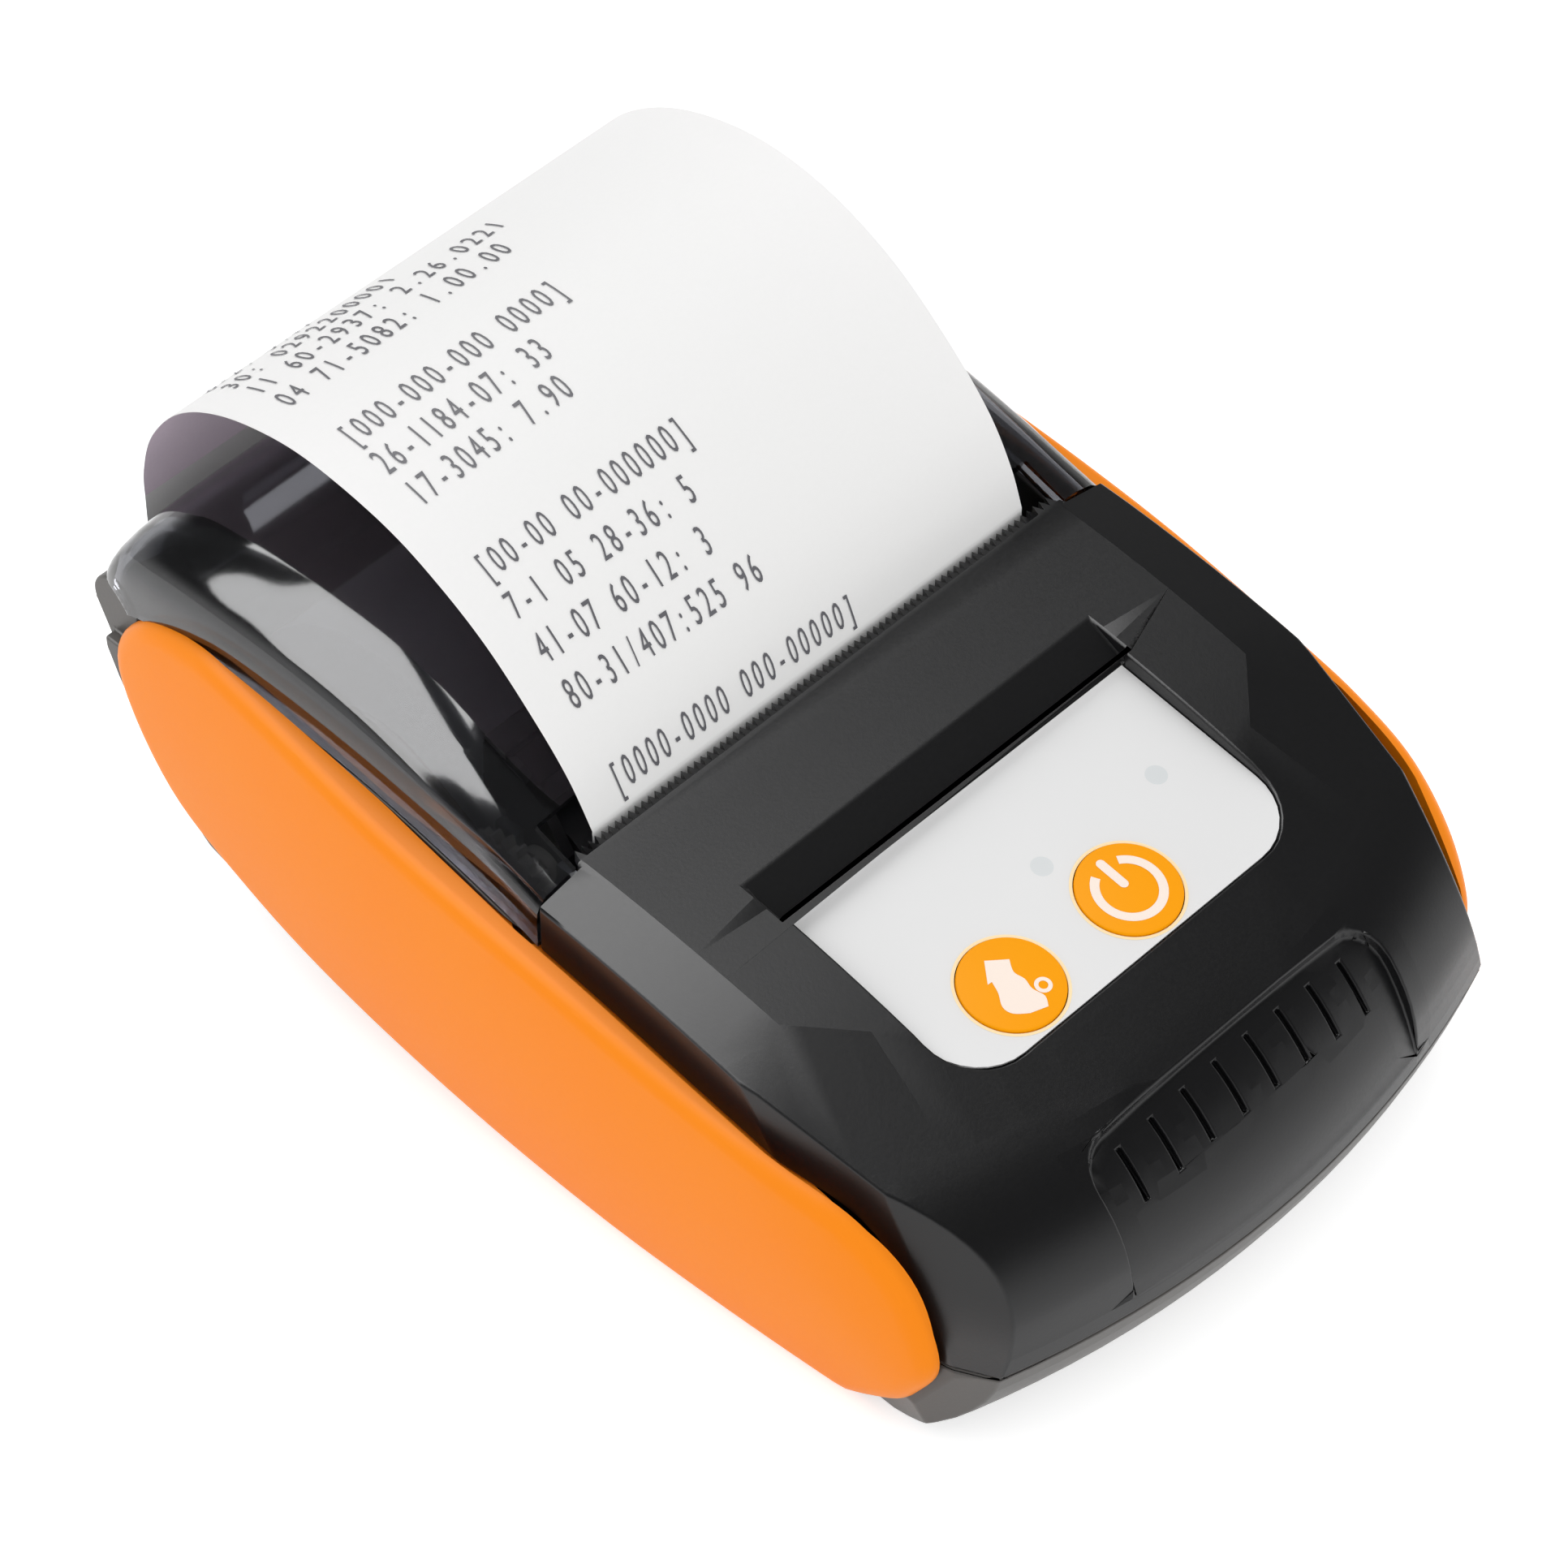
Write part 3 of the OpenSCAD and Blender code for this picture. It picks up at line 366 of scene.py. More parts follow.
class Surface:
    """A finish; each kind draws its own shader."""

    name: str

    def draw(self, recipe: Recipe) -> Socket:
        """Draw the shader into a recipe and return its output."""
        raise NotImplementedError

    def build(self) -> Material:
        """Make the material.

        Returns:
            A material on Object coordinates.
        """
        recipe = Recipe(bpy.data.materials.new(self.name))
        return recipe.close(self.draw(recipe))


@dataclass(frozen=True)
class Moulding(Surface):
    """Injection-moulded plastic: an even colour with the mould's fine spark-eroded grain."""

    name: str
    colour: str
    shade: str
    roughness: float = 0.45
    grain_mm: float = 0.35
    bump_mm: float = 0.012
    specular: float = 0.5
    ior: float = 1.53
    # Flow of the melt: clouds of a few centimetres, one shade apart
    cloud_mm: float = 14.0
    # Leaning faces that round over to upright: foot and upper height in mm, tilt of the normal at the foot
    rolled: Triple = (0.0, 0.0, 0.0)
    # Upward share of the normal at which a face begins to count as leaning, and counts in full
    lean: Point = (0.1, 0.25)

    def _normal(self, recipe: Recipe) -> Socket:
        """Give the surface normal, tilted down near the foot of a leaning face."""
        foot, upper, tilt = self.rolled
        normal = recipe.add("NewGeometry", at="Normal")
        height = recipe.add("SeparateXYZ", {}, {0: recipe.place}, "Z")
        upward = recipe.add("SeparateXYZ", {}, {0: normal}, "Z")
        ends = {"From Min": foot * MM, "From Max": upper * MM, "To Min": -tilt, "To Max": 0.0}
        ends["interpolation_type"] = "SMOOTHSTEP"
        drop = recipe.add("MapRange", ends, {"Value": height})
        limits = {"From Min": self.lean[0], "From Max": self.lean[1]}
        leaning = recipe.add("MapRange", limits, {"Value": upward})
        amount = recipe.add("Math", {"operation": "MULTIPLY"}, {0: drop, 1: leaning})
        turn = recipe.add("CombineXYZ", {}, {"Z": amount})
        total = recipe.add("VectorMath", {"operation": "ADD"}, {0: normal, 1: turn})
        return recipe.add("VectorMath", {"operation": "NORMALIZE"}, {0: total})

    def draw(self, recipe: Recipe) -> Socket:
        """Draw its shader."""
        colour = recipe.two_tone(self.colour, self.shade, recipe.noise(self.cloud_mm, 3.0))
        grain = recipe.noise(self.grain_mm, 2.0, roughness=0.6)
        rough = recipe.spread(self.roughness - 0.04, self.roughness + 0.05, grain)
        base = {"Normal": self._normal(recipe)} if self.rolled[2] else {}
        bump = recipe.relief(0.5, self.bump_mm, grain, **base)
        settings = {"IOR": self.ior, "Specular IOR Level": self.specular}
        return recipe.principled(settings, Base_Color=colour, Roughness=rough, Normal=bump)


@dataclass(frozen=True)
class Metal(Surface):
    """Bare metal: brushed, ground or cast, with the lay of the tool along one axis."""

    name: str
    colour: str
    shade: str
    roughness: float = 0.32
    line_mm: float = 0.12
    stretch: Triple = (0.04, 1.0, 1.0)

    def draw(self, recipe: Recipe) -> Socket:
        """Draw its shader."""
        lay = recipe.add("Mapping", {"Scale": self.stretch}, {"Vector": recipe.place})
        line = recipe.noise(self.line_mm, 2.0, lay)
        colour = recipe.two_tone(self.colour, self.shade, line)
        rough = recipe.spread(self.roughness - 0.06, self.roughness + 0.08, line)
        bump = recipe.relief(0.3, 0.005, line)
        return recipe.principled({"Metallic": 1.0}, Base_Color=colour, Roughness=rough, Normal=bump)


@dataclass(frozen=True)
class SmokedPolycarbonate(Surface):
    """Clear smoked moulding: polished, so it mirrors the lamps, and dark enough to hide most of the well."""

    name: str = "smoked_polycarbonate"
    tint: str = "#64656A"
    deep_tint: str = "#5E5F63"
    roughness: float = 0.04
    ripple_mm: float = 9.0
    scuff_mm: float = 0.8

    def draw(self, recipe: Recipe) -> Socket:
        """Draw a transmitting surface with a faint moulding ripple."""
        ripple = recipe.noise(self.ripple_mm, 1.0)
        rough = recipe.spread(self.roughness, self.roughness + 0.05, recipe.noise(self.scuff_mm, 4.0))
        bump = recipe.relief(0.25, 0.03, ripple)
        colour = recipe.two_tone(self.tint, self.deep_tint, ripple)
        settings = {"Transmission Weight": 1.0, "IOR": 1.585}
        return recipe.principled(settings, Base_Color=colour, Roughness=rough, Normal=bump)


@dataclass(frozen=True)
class ThermalPaper(Surface):
    """Coated paper: nearly white and even, its fibres only just felt, thin enough to let light through."""

    name: str = "thermal_paper"
    colour: str = "#FDFDFC"
    shade: str = "#FAFAF9"
    fibre_mm: float = 0.5
    through: float = 0.1

    def draw(self, recipe: Recipe) -> Socket:
        """Draw a matt surface that lets a little light through."""
        fibre = recipe.noise(self.fibre_mm, 5.0)
        colour = recipe.two_tone(self.colour, self.shade, fibre)
        bump = recipe.relief(0.2, 0.01, fibre)
        settings = {"Roughness": 0.62, "IOR": 1.45, "Specular IOR Level": 0.3}
        matt = recipe.principled(settings, Base_Color=colour, Normal=bump)
        glow = recipe.add("BsdfTranslucent", {}, {"Color": colour})
        return recipe.add("MixShader", {"Fac": self.through}, {1: matt, 2: glow})


@dataclass(frozen=True)
class RollEnd(Surface):
    """Wound paper: matt white with the fine rings of its turns round one axis."""

    centre: Point
    name: str = "wound_paper"
    # Real turns are 0.06 mm; they are drawn coarser so that they show
    turn_mm: float = 0.45
    # Distance between the wave texture's rings at a scale of 1
    wave_unit: float = 0.314

    def draw(self, recipe: Recipe) -> Socket:
        """Draw a matt surface whose rings follow the roll's axis."""
        shift = (0.0, -self.centre[0] * MM, -self.centre[1] * MM)
        centred = recipe.add("Mapping", {"Location": shift}, {"Vector": recipe.place})
        waves = {"wave_type": "RINGS", "rings_direction": "X", "Distortion": 0.6}
        waves["Scale"] = self.wave_unit / (self.turn_mm * MM)
        rings = recipe.add("TexWave", waves, {"Vector": centred}, "Fac")
        colour = recipe.two_tone("#F4F3F0", "#E2E0DB", rings)
        return recipe.principled({"Roughness": 0.7, "IOR": 1.45}, Base_Color=colour)


class Finish(Enum):
    """Every finish of the printer, by the record's material slot."""

    # Satin charcoal ABS: catches a soft grey sheen, never a hard highlight
    ABS_UPPER = Moulding(
        "abs_charcoal_satin", "#131315", "#111112", roughness=0.33, specular=0.36, rolled=(13.5, 22.0, 0.36)
    )
    ABS_LOWER = Moulding("abs_charcoal_base", "#4C4946", "#464340", roughness=0.42)
    # Soft-touch lacquer over ABS: even and warm, with a faint bloom at the rim
    ORANGE_PANEL = Moulding(
        "soft_touch_orange", "#FF9010", "#FF8B0C", roughness=0.42, grain_mm=0.5, bump_mm=0.006, specular=0.12
    )
    # Fine-matt polyester film with printed pale grey behind it
    OVERLAY_FILM = Moulding("polyester_overlay", "#E4E4E4", "#E0E0E0", 0.42, grain_mm=0.25, bump_mm=0.004)
    LENS_PLASTIC = Moulding("milky_light_pipe", "#DADDDE", "#D5D9DA", 0.3, bump_mm=0.002)
    AMBER_KEY = Moulding("amber_key_film", "#FFA500", "#FFA200", specular=0.06, grain_mm=0.3, bump_mm=0.003)
    KEY_PRINT = Moulding("white_key_print", "#FCEBDD", "#FBE8DA", 0.4, bump_mm=0.002)
    KEY_RIM = Moulding("pale_key_rim", "#FFE9B8", "#FFE4AC", 0.4, bump_mm=0.002)
    THERMAL_INK = Moulding("developed_thermal_dye", "#55555A", "#6A6A70", 0.6, grain_mm=0.3, bump_mm=0.001)
    DARK_PLASTIC = Moulding("black_polyamide", "#1A1A1C", "#151516", 0.5)
    CIRCUIT_BOARD = Moulding("green_solder_resist", "#14603A", "#0F5230", 0.3, grain_mm=1.2, bump_mm=0.02)
    ZINC_STEEL = Metal("zinc_plated_steel", "#B9BCC0", "#A6A9AE", 0.35)
    SHEET_STEEL = Metal("tinned_sheet_steel", "#B2B5B8", "#9DA0A4", 0.38)
    GROUND_STEEL = Metal("ground_bright_steel", "#C9CCD0", "#B8BBC0", 0.2, stretch=(1.0, 0.1, 0.1))
    GEAR_BRASS = Metal("machined_brass", "#D0A850", "#B9923F", 0.28)
    GEAR_ACETAL = Moulding("natural_acetal", "#E9E5D8", "#E0DBCC", 0.38)
    CAST_ALUMINIUM = Metal("cast_aluminium", "#B5B8BC", "#9FA2A7", 0.45, line_mm=0.5, stretch=(1.0, 1.0, 1.0))
    HEAD_CERAMIC = Moulding("glazed_head_ceramic", "#E4D9C0", "#DACDB0", 0.15, bump_mm=0.002)
    PLATEN_RUBBER = Moulding("ground_silicone_rubber", "#1C1C1E", "#232325", 0.75, grain_mm=0.2)
    POLYIMIDE_FILM = Moulding("polyimide_flat_cable", "#C08A34", "#B17C2A", 0.3)
    BATTERY_WRAP = Moulding("shrunk_battery_sleeve", "#2F63A8", "#295A9B", 0.3, grain_mm=2.0, bump_mm=0.02)
    GILT_CONTACT = Metal("gilt_spring_strip", "#D9B45C", "#C9A24A", 0.25)
    SMOKED_LID = SmokedPolycarbonate()
    THERMAL_PAPER = ThermalPaper()
    WOUND_PAPER = RollEnd((30.5, 22.6))
    PAPER_BACK = ThermalPaper("paper_back", "#F2E8F2", "#ECE2EC", through=0.65)
    CORE_BOARD = Moulding("wound_core_board", "#B08A5C", "#A07A4E", 0.8, grain_mm=1.0, bump_mm=0.05)

    @cache
    def material(self) -> Material:
        """Return its material, built at the first use."""
        return self.value.build()


# Carried-over solids


def dress(replaced: set[str]) -> None:
    """Give each CAD solid that stays, because its shape is right, the finish of its slot.

    Args:
        replaced: Nodes that a new piece stands for.
    """
    slots = {s["node"]: s["material_slot"] for s in frame["record"]["subparts"]}
    for name, obj in frame["nodes"].items():
        if name in replaced:
            continue
        finish = Finish.WOUND_PAPER if name == "paper_roll" else Finish[slots[name].upper()]
        obj.data.materials.clear()
        obj.data.materials.append(finish.material())
    log.info("%d CAD nodes dressed", len(frame["nodes"]) - len(replaced))


# Shells


@dataclass
class ShellSkin:
    """Upper and lower shell: the CAD skin merged, shaded smoothly and with its moulded edges rounded."""

    edge_round: float = 0.28
    sharp_deg: float = 14.0
    # Only the tear teeth lie behind and above this place in the side view
    teeth: Point = (0.1, 36.5)
    flat_deg: float = 0.6
    weld: float = 0.03

    def build(self, node: str, name: str, slot: str, finish: Finish) -> None:
        """Make a rounded copy of a CAD shell.

        Args:
            node: The CAD node.
            name: Name of the new piece.
            slot: The record's slot; not used.
            finish: Its finish.
        """
        bm = bmesh.new()
        bm.from_mesh(frame["nodes"][node].data)
        bm.transform(Matrix.Scale(1 / MM, 4))
        bmesh.ops.remove_doubles(bm, verts=bm.verts, dist=self.weld)
        bmesh.ops.dissolve_degenerate(bm, edges=bm.edges, dist=self.weld)
        bmesh.ops.dissolve_limit(
            bm, angle_limit=math.radians(self.flat_deg), verts=bm.verts, edges=bm.edges, delimit={"NORMAL"}
        )
        # Every moulded edge is rounded, but the tear teeth stay sharp
        weight = bm.edges.layers.float.new("bevel_weight_edge")
        for edge in bm.edges:
            at_teeth = all(v.co.y > self.teeth[0] and v.co.z > self.teeth[1] for v in edge.verts)
            edge[weight] = float(not at_teeth and edge.calc_face_angle(0.0) > math.radians(self.sharp_deg))
        obj = to_object(bm, name, self.sharp_deg)
        rounding = bevelled(obj, self.edge_round, 2)
        rounding.limit_method = "WEIGHT"
        rounding.use_clamp_overlap = False
        rounding.harden_normals = True
        finish_piece(obj, "case", finish, (node,))


# Side panels


@dataclass
class SidePanel:
    """Orange leaf-shaped panel: a slightly barrelled pad whose rim rolls over into its seat."""

    # The leaf in the side view, as Y and Z
    outline: tuple[Point, ...] = (
        (-45.6, 21.6), (-39.5, 27), (-31, 29.1), (-20, 30.8), (-6.3, 33), (5, 34.3), (17.7, 35.6),
        (28.5, 37.1), (38, 38.1), (46, 38), (54.7, 34.5), (58.8, 26), (52.2, 13.6), (41.3, 8.2),
        (27.8, 4.4), (5, 1.4), (-20, -0.2), (-34.2, -1.2), (-43.2, 3.8), (-46.9, 8.4), (-48.7, 13.8),
    )
    curve_steps: int = 7
    foot_z: float = 0.3
    crown_x: float = 41.95
    bulge_r: float = 138.0
    long_r: float = 468.0
    middle: Point = (3.0, 24.6)
    rim_in: float = 2.0
    rim_out: float = 1.3
    rim_steps: int = 7
    rim_least: float = 0.2
    # The rim's distance from the shell, at the front and at the lid, and where along Y it closes up
    rim_gap: float = 1.4
    lid_gap: float = 0.35
    closing: Point = (2.0, 20.0)
    rim_lap: float = 2.6
    # Front and rear end and height of the leaf's middle line
    spine: Triple = (-28.0, 40.0, 18.0)
    corner_at: Triple = (33.5, -53.5, 13.0)
    corner_turn: float = 26.8
    corner_tilt: float = 14.9
    corner_proud: float = 4.9
    blend: float = 7.0
    seat: float = 0.85
    wall_x: float = 37.8
    # Height below which the shell's side draws in, and its slope in degrees
    draw_in: Point = (8.0, 15.0)
    # Edge loops across and along the face, 3 mm apart, over these stretches of Y and Z
    grid: float = 3.0
    grid_y: Point = (-48.0, 59.0)
    grid_z: Point = (2.0, 37.0)
    # Lower edge of the lid's side, where the foot stays out of the lid's way
    sill: tuple[Point, ...] = (
        (0.35, 31.2), (3.5, 32.1), (12, 34), (22.5, 35.7), (34, 36.5), (45.5, 36.6), (52, 35.3), (57.5, 28.4)
    )
    sill_room: float = 0.6
    lid_clear: float = 0.3

    def _corner(self, y: float, z: float, proud: float) -> float:
        """X of the narrowing front corner's plane, moved out by proud, at a place of the side view."""
        a, b = math.radians(self.corner_turn), math.radians(self.corner_tilt)
        x0, y0, z0 = self.corner_at
        reach = proud + math.sin(a) * math.cos(b) * (y - y0) - math.sin(b) * (z - z0)
        return x0 + reach / (math.cos(a) * math.cos(b))

    def surface(self, y: float, z: float) -> float:
        """Distance of the panel's face from the middle plane.

        Args:
            y: Place along the printer.
            z: Height.

        Returns:
            X of the face, kept near the narrowing front corner.
        """
        dy, dz = y - self.middle[0], z - self.middle[1]
        barrel = self.crown_x - self.long_r + math.sqrt(self.long_r**2 - dy**2)
        barrel += math.sqrt(self.bulge_r**2 - dz**2) - self.bulge_r
        corner = self._corner(y, z, self.corner_proud)
        # Both limits blended over a few millimetres, so that no ridge shows
        h = max(self.blend - abs(barrel - corner), 0.0) / self.blend
        return min(barrel, corner) - h * h * self.blend / 4

    def _wall(self, y: float, z: float) -> float:
        """X of the shell's side behind the panel, at a place of the side view."""
        flat = self.wall_x - max(0.0, self.draw_in[0] - z) * math.tan(math.radians(self.draw_in[1]))
        return min(flat, self._corner(y, max(z, self.corner_at[2]), 0.0))

    def rim_back(self, place: Vector) -> Vector:
        """Inner edge of the rim: it stands a little off the shell, and closes up towards the lid."""
        start, end = self.closing
        closed = min(max((place.y - start) / (end - start), 0.0), 1.0)
        gap = self.rim_gap + closed * (self.lid_gap - self.rim_gap)
        return Vector((min(self._wall(place.y, place.z) + gap, place.x - self.rim_least), place.y, place.z))

    def foot_edge(self, place: Vector) -> Vector:
        """Root of the foot: drawn in from the rim towards the leaf's middle line."""
        front, rear, height = self.spine
        middle = Vector((place.x, min(max(place.y, front), rear), height))
        return place + (middle - place).normalized() * self.rim_lap

    def foot_seat(self, place: Vector) -> Vector:
        """End of the foot: in the shell's pocket, or just outside the lid where the lid swings."""
        depth = self._wall(place.y, place.z) - self.seat
        for (y0, z0), (y1, z1) in zip(self.sill, self.sill[1:]):
            if y0 <= place.y <= y1 and place.z > z0 + (z1 - z0) * (place.y - y0) / (y1 - y0) - self.sill_room:
                depth = self.wall_x + self.lid_clear
        return Vector((depth, place.y, place.z))

    def build(self, side: int) -> None:
        """Make one panel.

        Args:
            side: -1 for the left, 1 for the right.
        """
        name, node = ("panel_left", "side_panel_left") if side < 0 else ("panel_right", "side_panel_right")
        bm = bmesh.new()
        ring = [(y, max(z, self.foot_z)) for y, z in smooth_curve(self.outline, self.curve_steps, closed=True)]
        face = bm.faces.new([bm.verts.new((0.0, y, z)) for y, z in ring])
        face.normal_update()
        if face.normal.x < 0:
            face.normal_flip()
        quarter = [math.pi / 2 * k / self.rim_steps for k in range(self.rim_steps + 1)]
        for a, b in zip(quarter, quarter[1:]):
            bmesh.ops.inset_individual(
                bm,
                faces=[face],
                thickness=self.rim_in * (math.cos(a) - math.cos(b)),
                depth=self.rim_out * (math.sin(b) - math.sin(a)),
                use_even_offset=True,
            )
        for normal, (low, high) in (((0, 1, 0), self.grid_y), ((0, 0, 1), self.grid_z)):
            for k in range(math.ceil((high - low) / self.grid)):
                bisect(bm, [n * (low + k * self.grid) for n in normal], normal)
        for v in bm.verts:
            v.co.x = self.surface(v.co.y, v.co.z) - (self.rim_out - v.co.x)
        for move in (self.rim_back, self.foot_edge, self.foot_seat):
            edges = [e for e in bm.edges if e.is_boundary]
            grown = bmesh.ops.extrude_edge_only(bm, edges=edges)["geom"]
            for v in (g for g in grown if isinstance(g, bmesh.types.BMVert)):
                v.co = move(v.co)
        bmesh.ops.holes_fill(bm, edges=[e for e in bm.edges if e.is_boundary], sides=0)
        if side < 0:
            bmesh.ops.scale(bm, vec=(-1, 1, 1), verts=bm.verts)
        bmesh.ops.remove_doubles(bm, verts=bm.verts, dist=1e-4)
        bmesh.ops.recalc_face_normals(bm, faces=bm.faces)
        obj = to_object(bm, name, 50.0)
        finish_piece(obj, "case", Finish.ORANGE_PANEL, (node,))


# Lid


@dataclass
class Lid:
    """Smoked clamshell: one thin vaulted shell with two front tabs, a mouth between them and two knuckles."""

    # Place along Y, crown height, half width, height of the lower edge, squareness of the arch
    stations: tuple[tuple[float, float, float, float, float], ...] = (
        (0.5, 38.6, 37.8, 31.6, 8), (5, 40.3, 37.7, 32.8, 7), (11, 42.9, 37.7, 34.1, 5.5),
        (17, 45.2, 37.7, 35.2, 4.6), (23, 46.9, 37.7, 36, 4.2), (29, 47.8, 37.7, 36.5, 4),
        (36, 48, 37.7, 36.8, 4), (42, 47.8, 37.7, 36.9, 4), (47.5, 47.2, 37.7, 36.6, 4.3),
        (52, 46.3, 37.7, 35.6, 4.8), (55.4, 44.8, 37.6, 34.4, 5.6), (58.2, 42.6, 37.4, 33.1, 6.4),
        (60.3, 39.5, 36.9, 32, 6.6), (61.4, 35.6, 36.1, 31.5, 6.6), (61.6, 33, 35.5, 31.3, 6.6),
    )
    wall: float = 1.8
    rows: int = 70
    columns: int = 72
    # How far the corners of the arch draw points from its flat crown
    crowding: float = 0.10
    mouth_half: float = 32.7
    mouth_rear: float = 5.6
    hinge: Point = (60.0, 32.0)
    # Inner and outer end and radius: the knuckles, and the room for the lugs beside them
    knuckle: Triple = (21.0, 28.6, 3.0)
    # Outline of a knuckle's web, from the hinge's axis
    web: tuple[Point, ...] = ((-2.2, -1.0), (2.9, 0.0), (1.0, 3.8), (-1.4, 6.2))
    lug_room: Triple = (28.7, 38.5, 3.6)

    def _hinge_rod(self, bm: Shape, radius: float, x0: float, x1: float) -> None:
        """Add a cylinder on the hinge's axis between two places along X."""
        place = Matrix.Translation(((x0 + x1) / 2, *self.hinge)) @ Matrix.Rotation(math.pi / 2, 4, "Y")
        rod(bm, place, radius, x1 - x0, 48)

    def _station(self, t: float) -> list[float]:
        """Smoothly interpolate the stations at a share t of their count."""
        last = len(self.stations) - 1
        i = min(int(t * last), last - 1)
        return between([self.stations[min(max(k, 0), last)] for k in range(i - 1, i + 3)], t * last - i)

    def _point(self, across: float, along: float) -> Vector:
        """A point of the outer skin.

        Args:
            across: 0 at the left lower edge, 1 at the right one.
            along: 0 at the front, 1 at the rear.

        Returns:
            The point in millimetres.
        """
        y, top, half, low, square = self._station(along)
        s = 2 * across - 1
        bent = s - self.crowding * math.sin(2 * math.pi * s)
        a = math.pi / 2 * (1 - bent)
        c, v = math.cos(a), math.sin(a)
        r = (abs(c) ** square + abs(v) ** square) ** (-1 / square)
        return Vector((half * r * c, y, low + (top - low) * r * v))

    def build(self) -> None:
        """Make the lid's shell with its mouth, tabs and knuckles."""
        bm = bmesh.new()
        bmesh.ops.create_grid(bm, x_segments=self.columns, y_segments=self.rows, size=0.5)
        for v in bm.verts:
            v.co = self._point(v.co.x + 0.5, v.co.y + 0.5)
        for x in (self.mouth_half, -self.mouth_half):
            bisect(bm, (x, 0, 0), (1, 0, 0))
        bisect(bm, (0, self.mouth_rear, 0), (0, 1, 0))
        gone = [
            f for f in bm.faces
            if abs(f.calc_center_median().x) < self.mouth_half and f.calc_center_median().y < self.mouth_rear
        ]
        bmesh.ops.delete(bm, geom=gone, context="FACES")
        face_up(bm)
        bmesh.ops.solidify(bm, geom=bm.faces[:], thickness=self.wall)
        shell = to_object(bm, "lid_shell", 40.0)
        inner, outer, radius = self.lug_room
        tools = []
        for side in (-1, 1):
            cut = bmesh.new()
            self._hinge_rod(cut, radius, *sorted((side * inner, side * outer)))
            tools.append(to_object(cut, f"lug_clearance_{side}"))
        carved(shell, tools)
        bevelled(shell, 0.3, 3, 50.0)
        finish_piece(shell, "lid", Finish.SMOKED_LID, ("paper_lid",))
        self._knuckles()

    def _knuckles(self) -> None:
        """Add the two hinge knuckles with the webs that join them to the shell."""
        bm = bmesh.new()
        hy, hz = self.hinge
        inner, outer, radius = self.knuckle
        for side in (-1, 1):
            x0, x1 = sorted((side * inner, side * outer))
            self._hinge_rod(bm, radius, x0, x1)
            plate(bm, [(x0, hy + dy, hz + dz) for dy, dz in self.web], (x1 - x0, 0, 0))
        bmesh.ops.recalc_face_normals(bm, faces=bm.faces)
        obj = to_object(bm, "lid_knuckles", 40.0)
        bevelled(obj, 0.25, 2)
        finish_piece(obj, "lid", Finish.SMOKED_LID)


# Paper


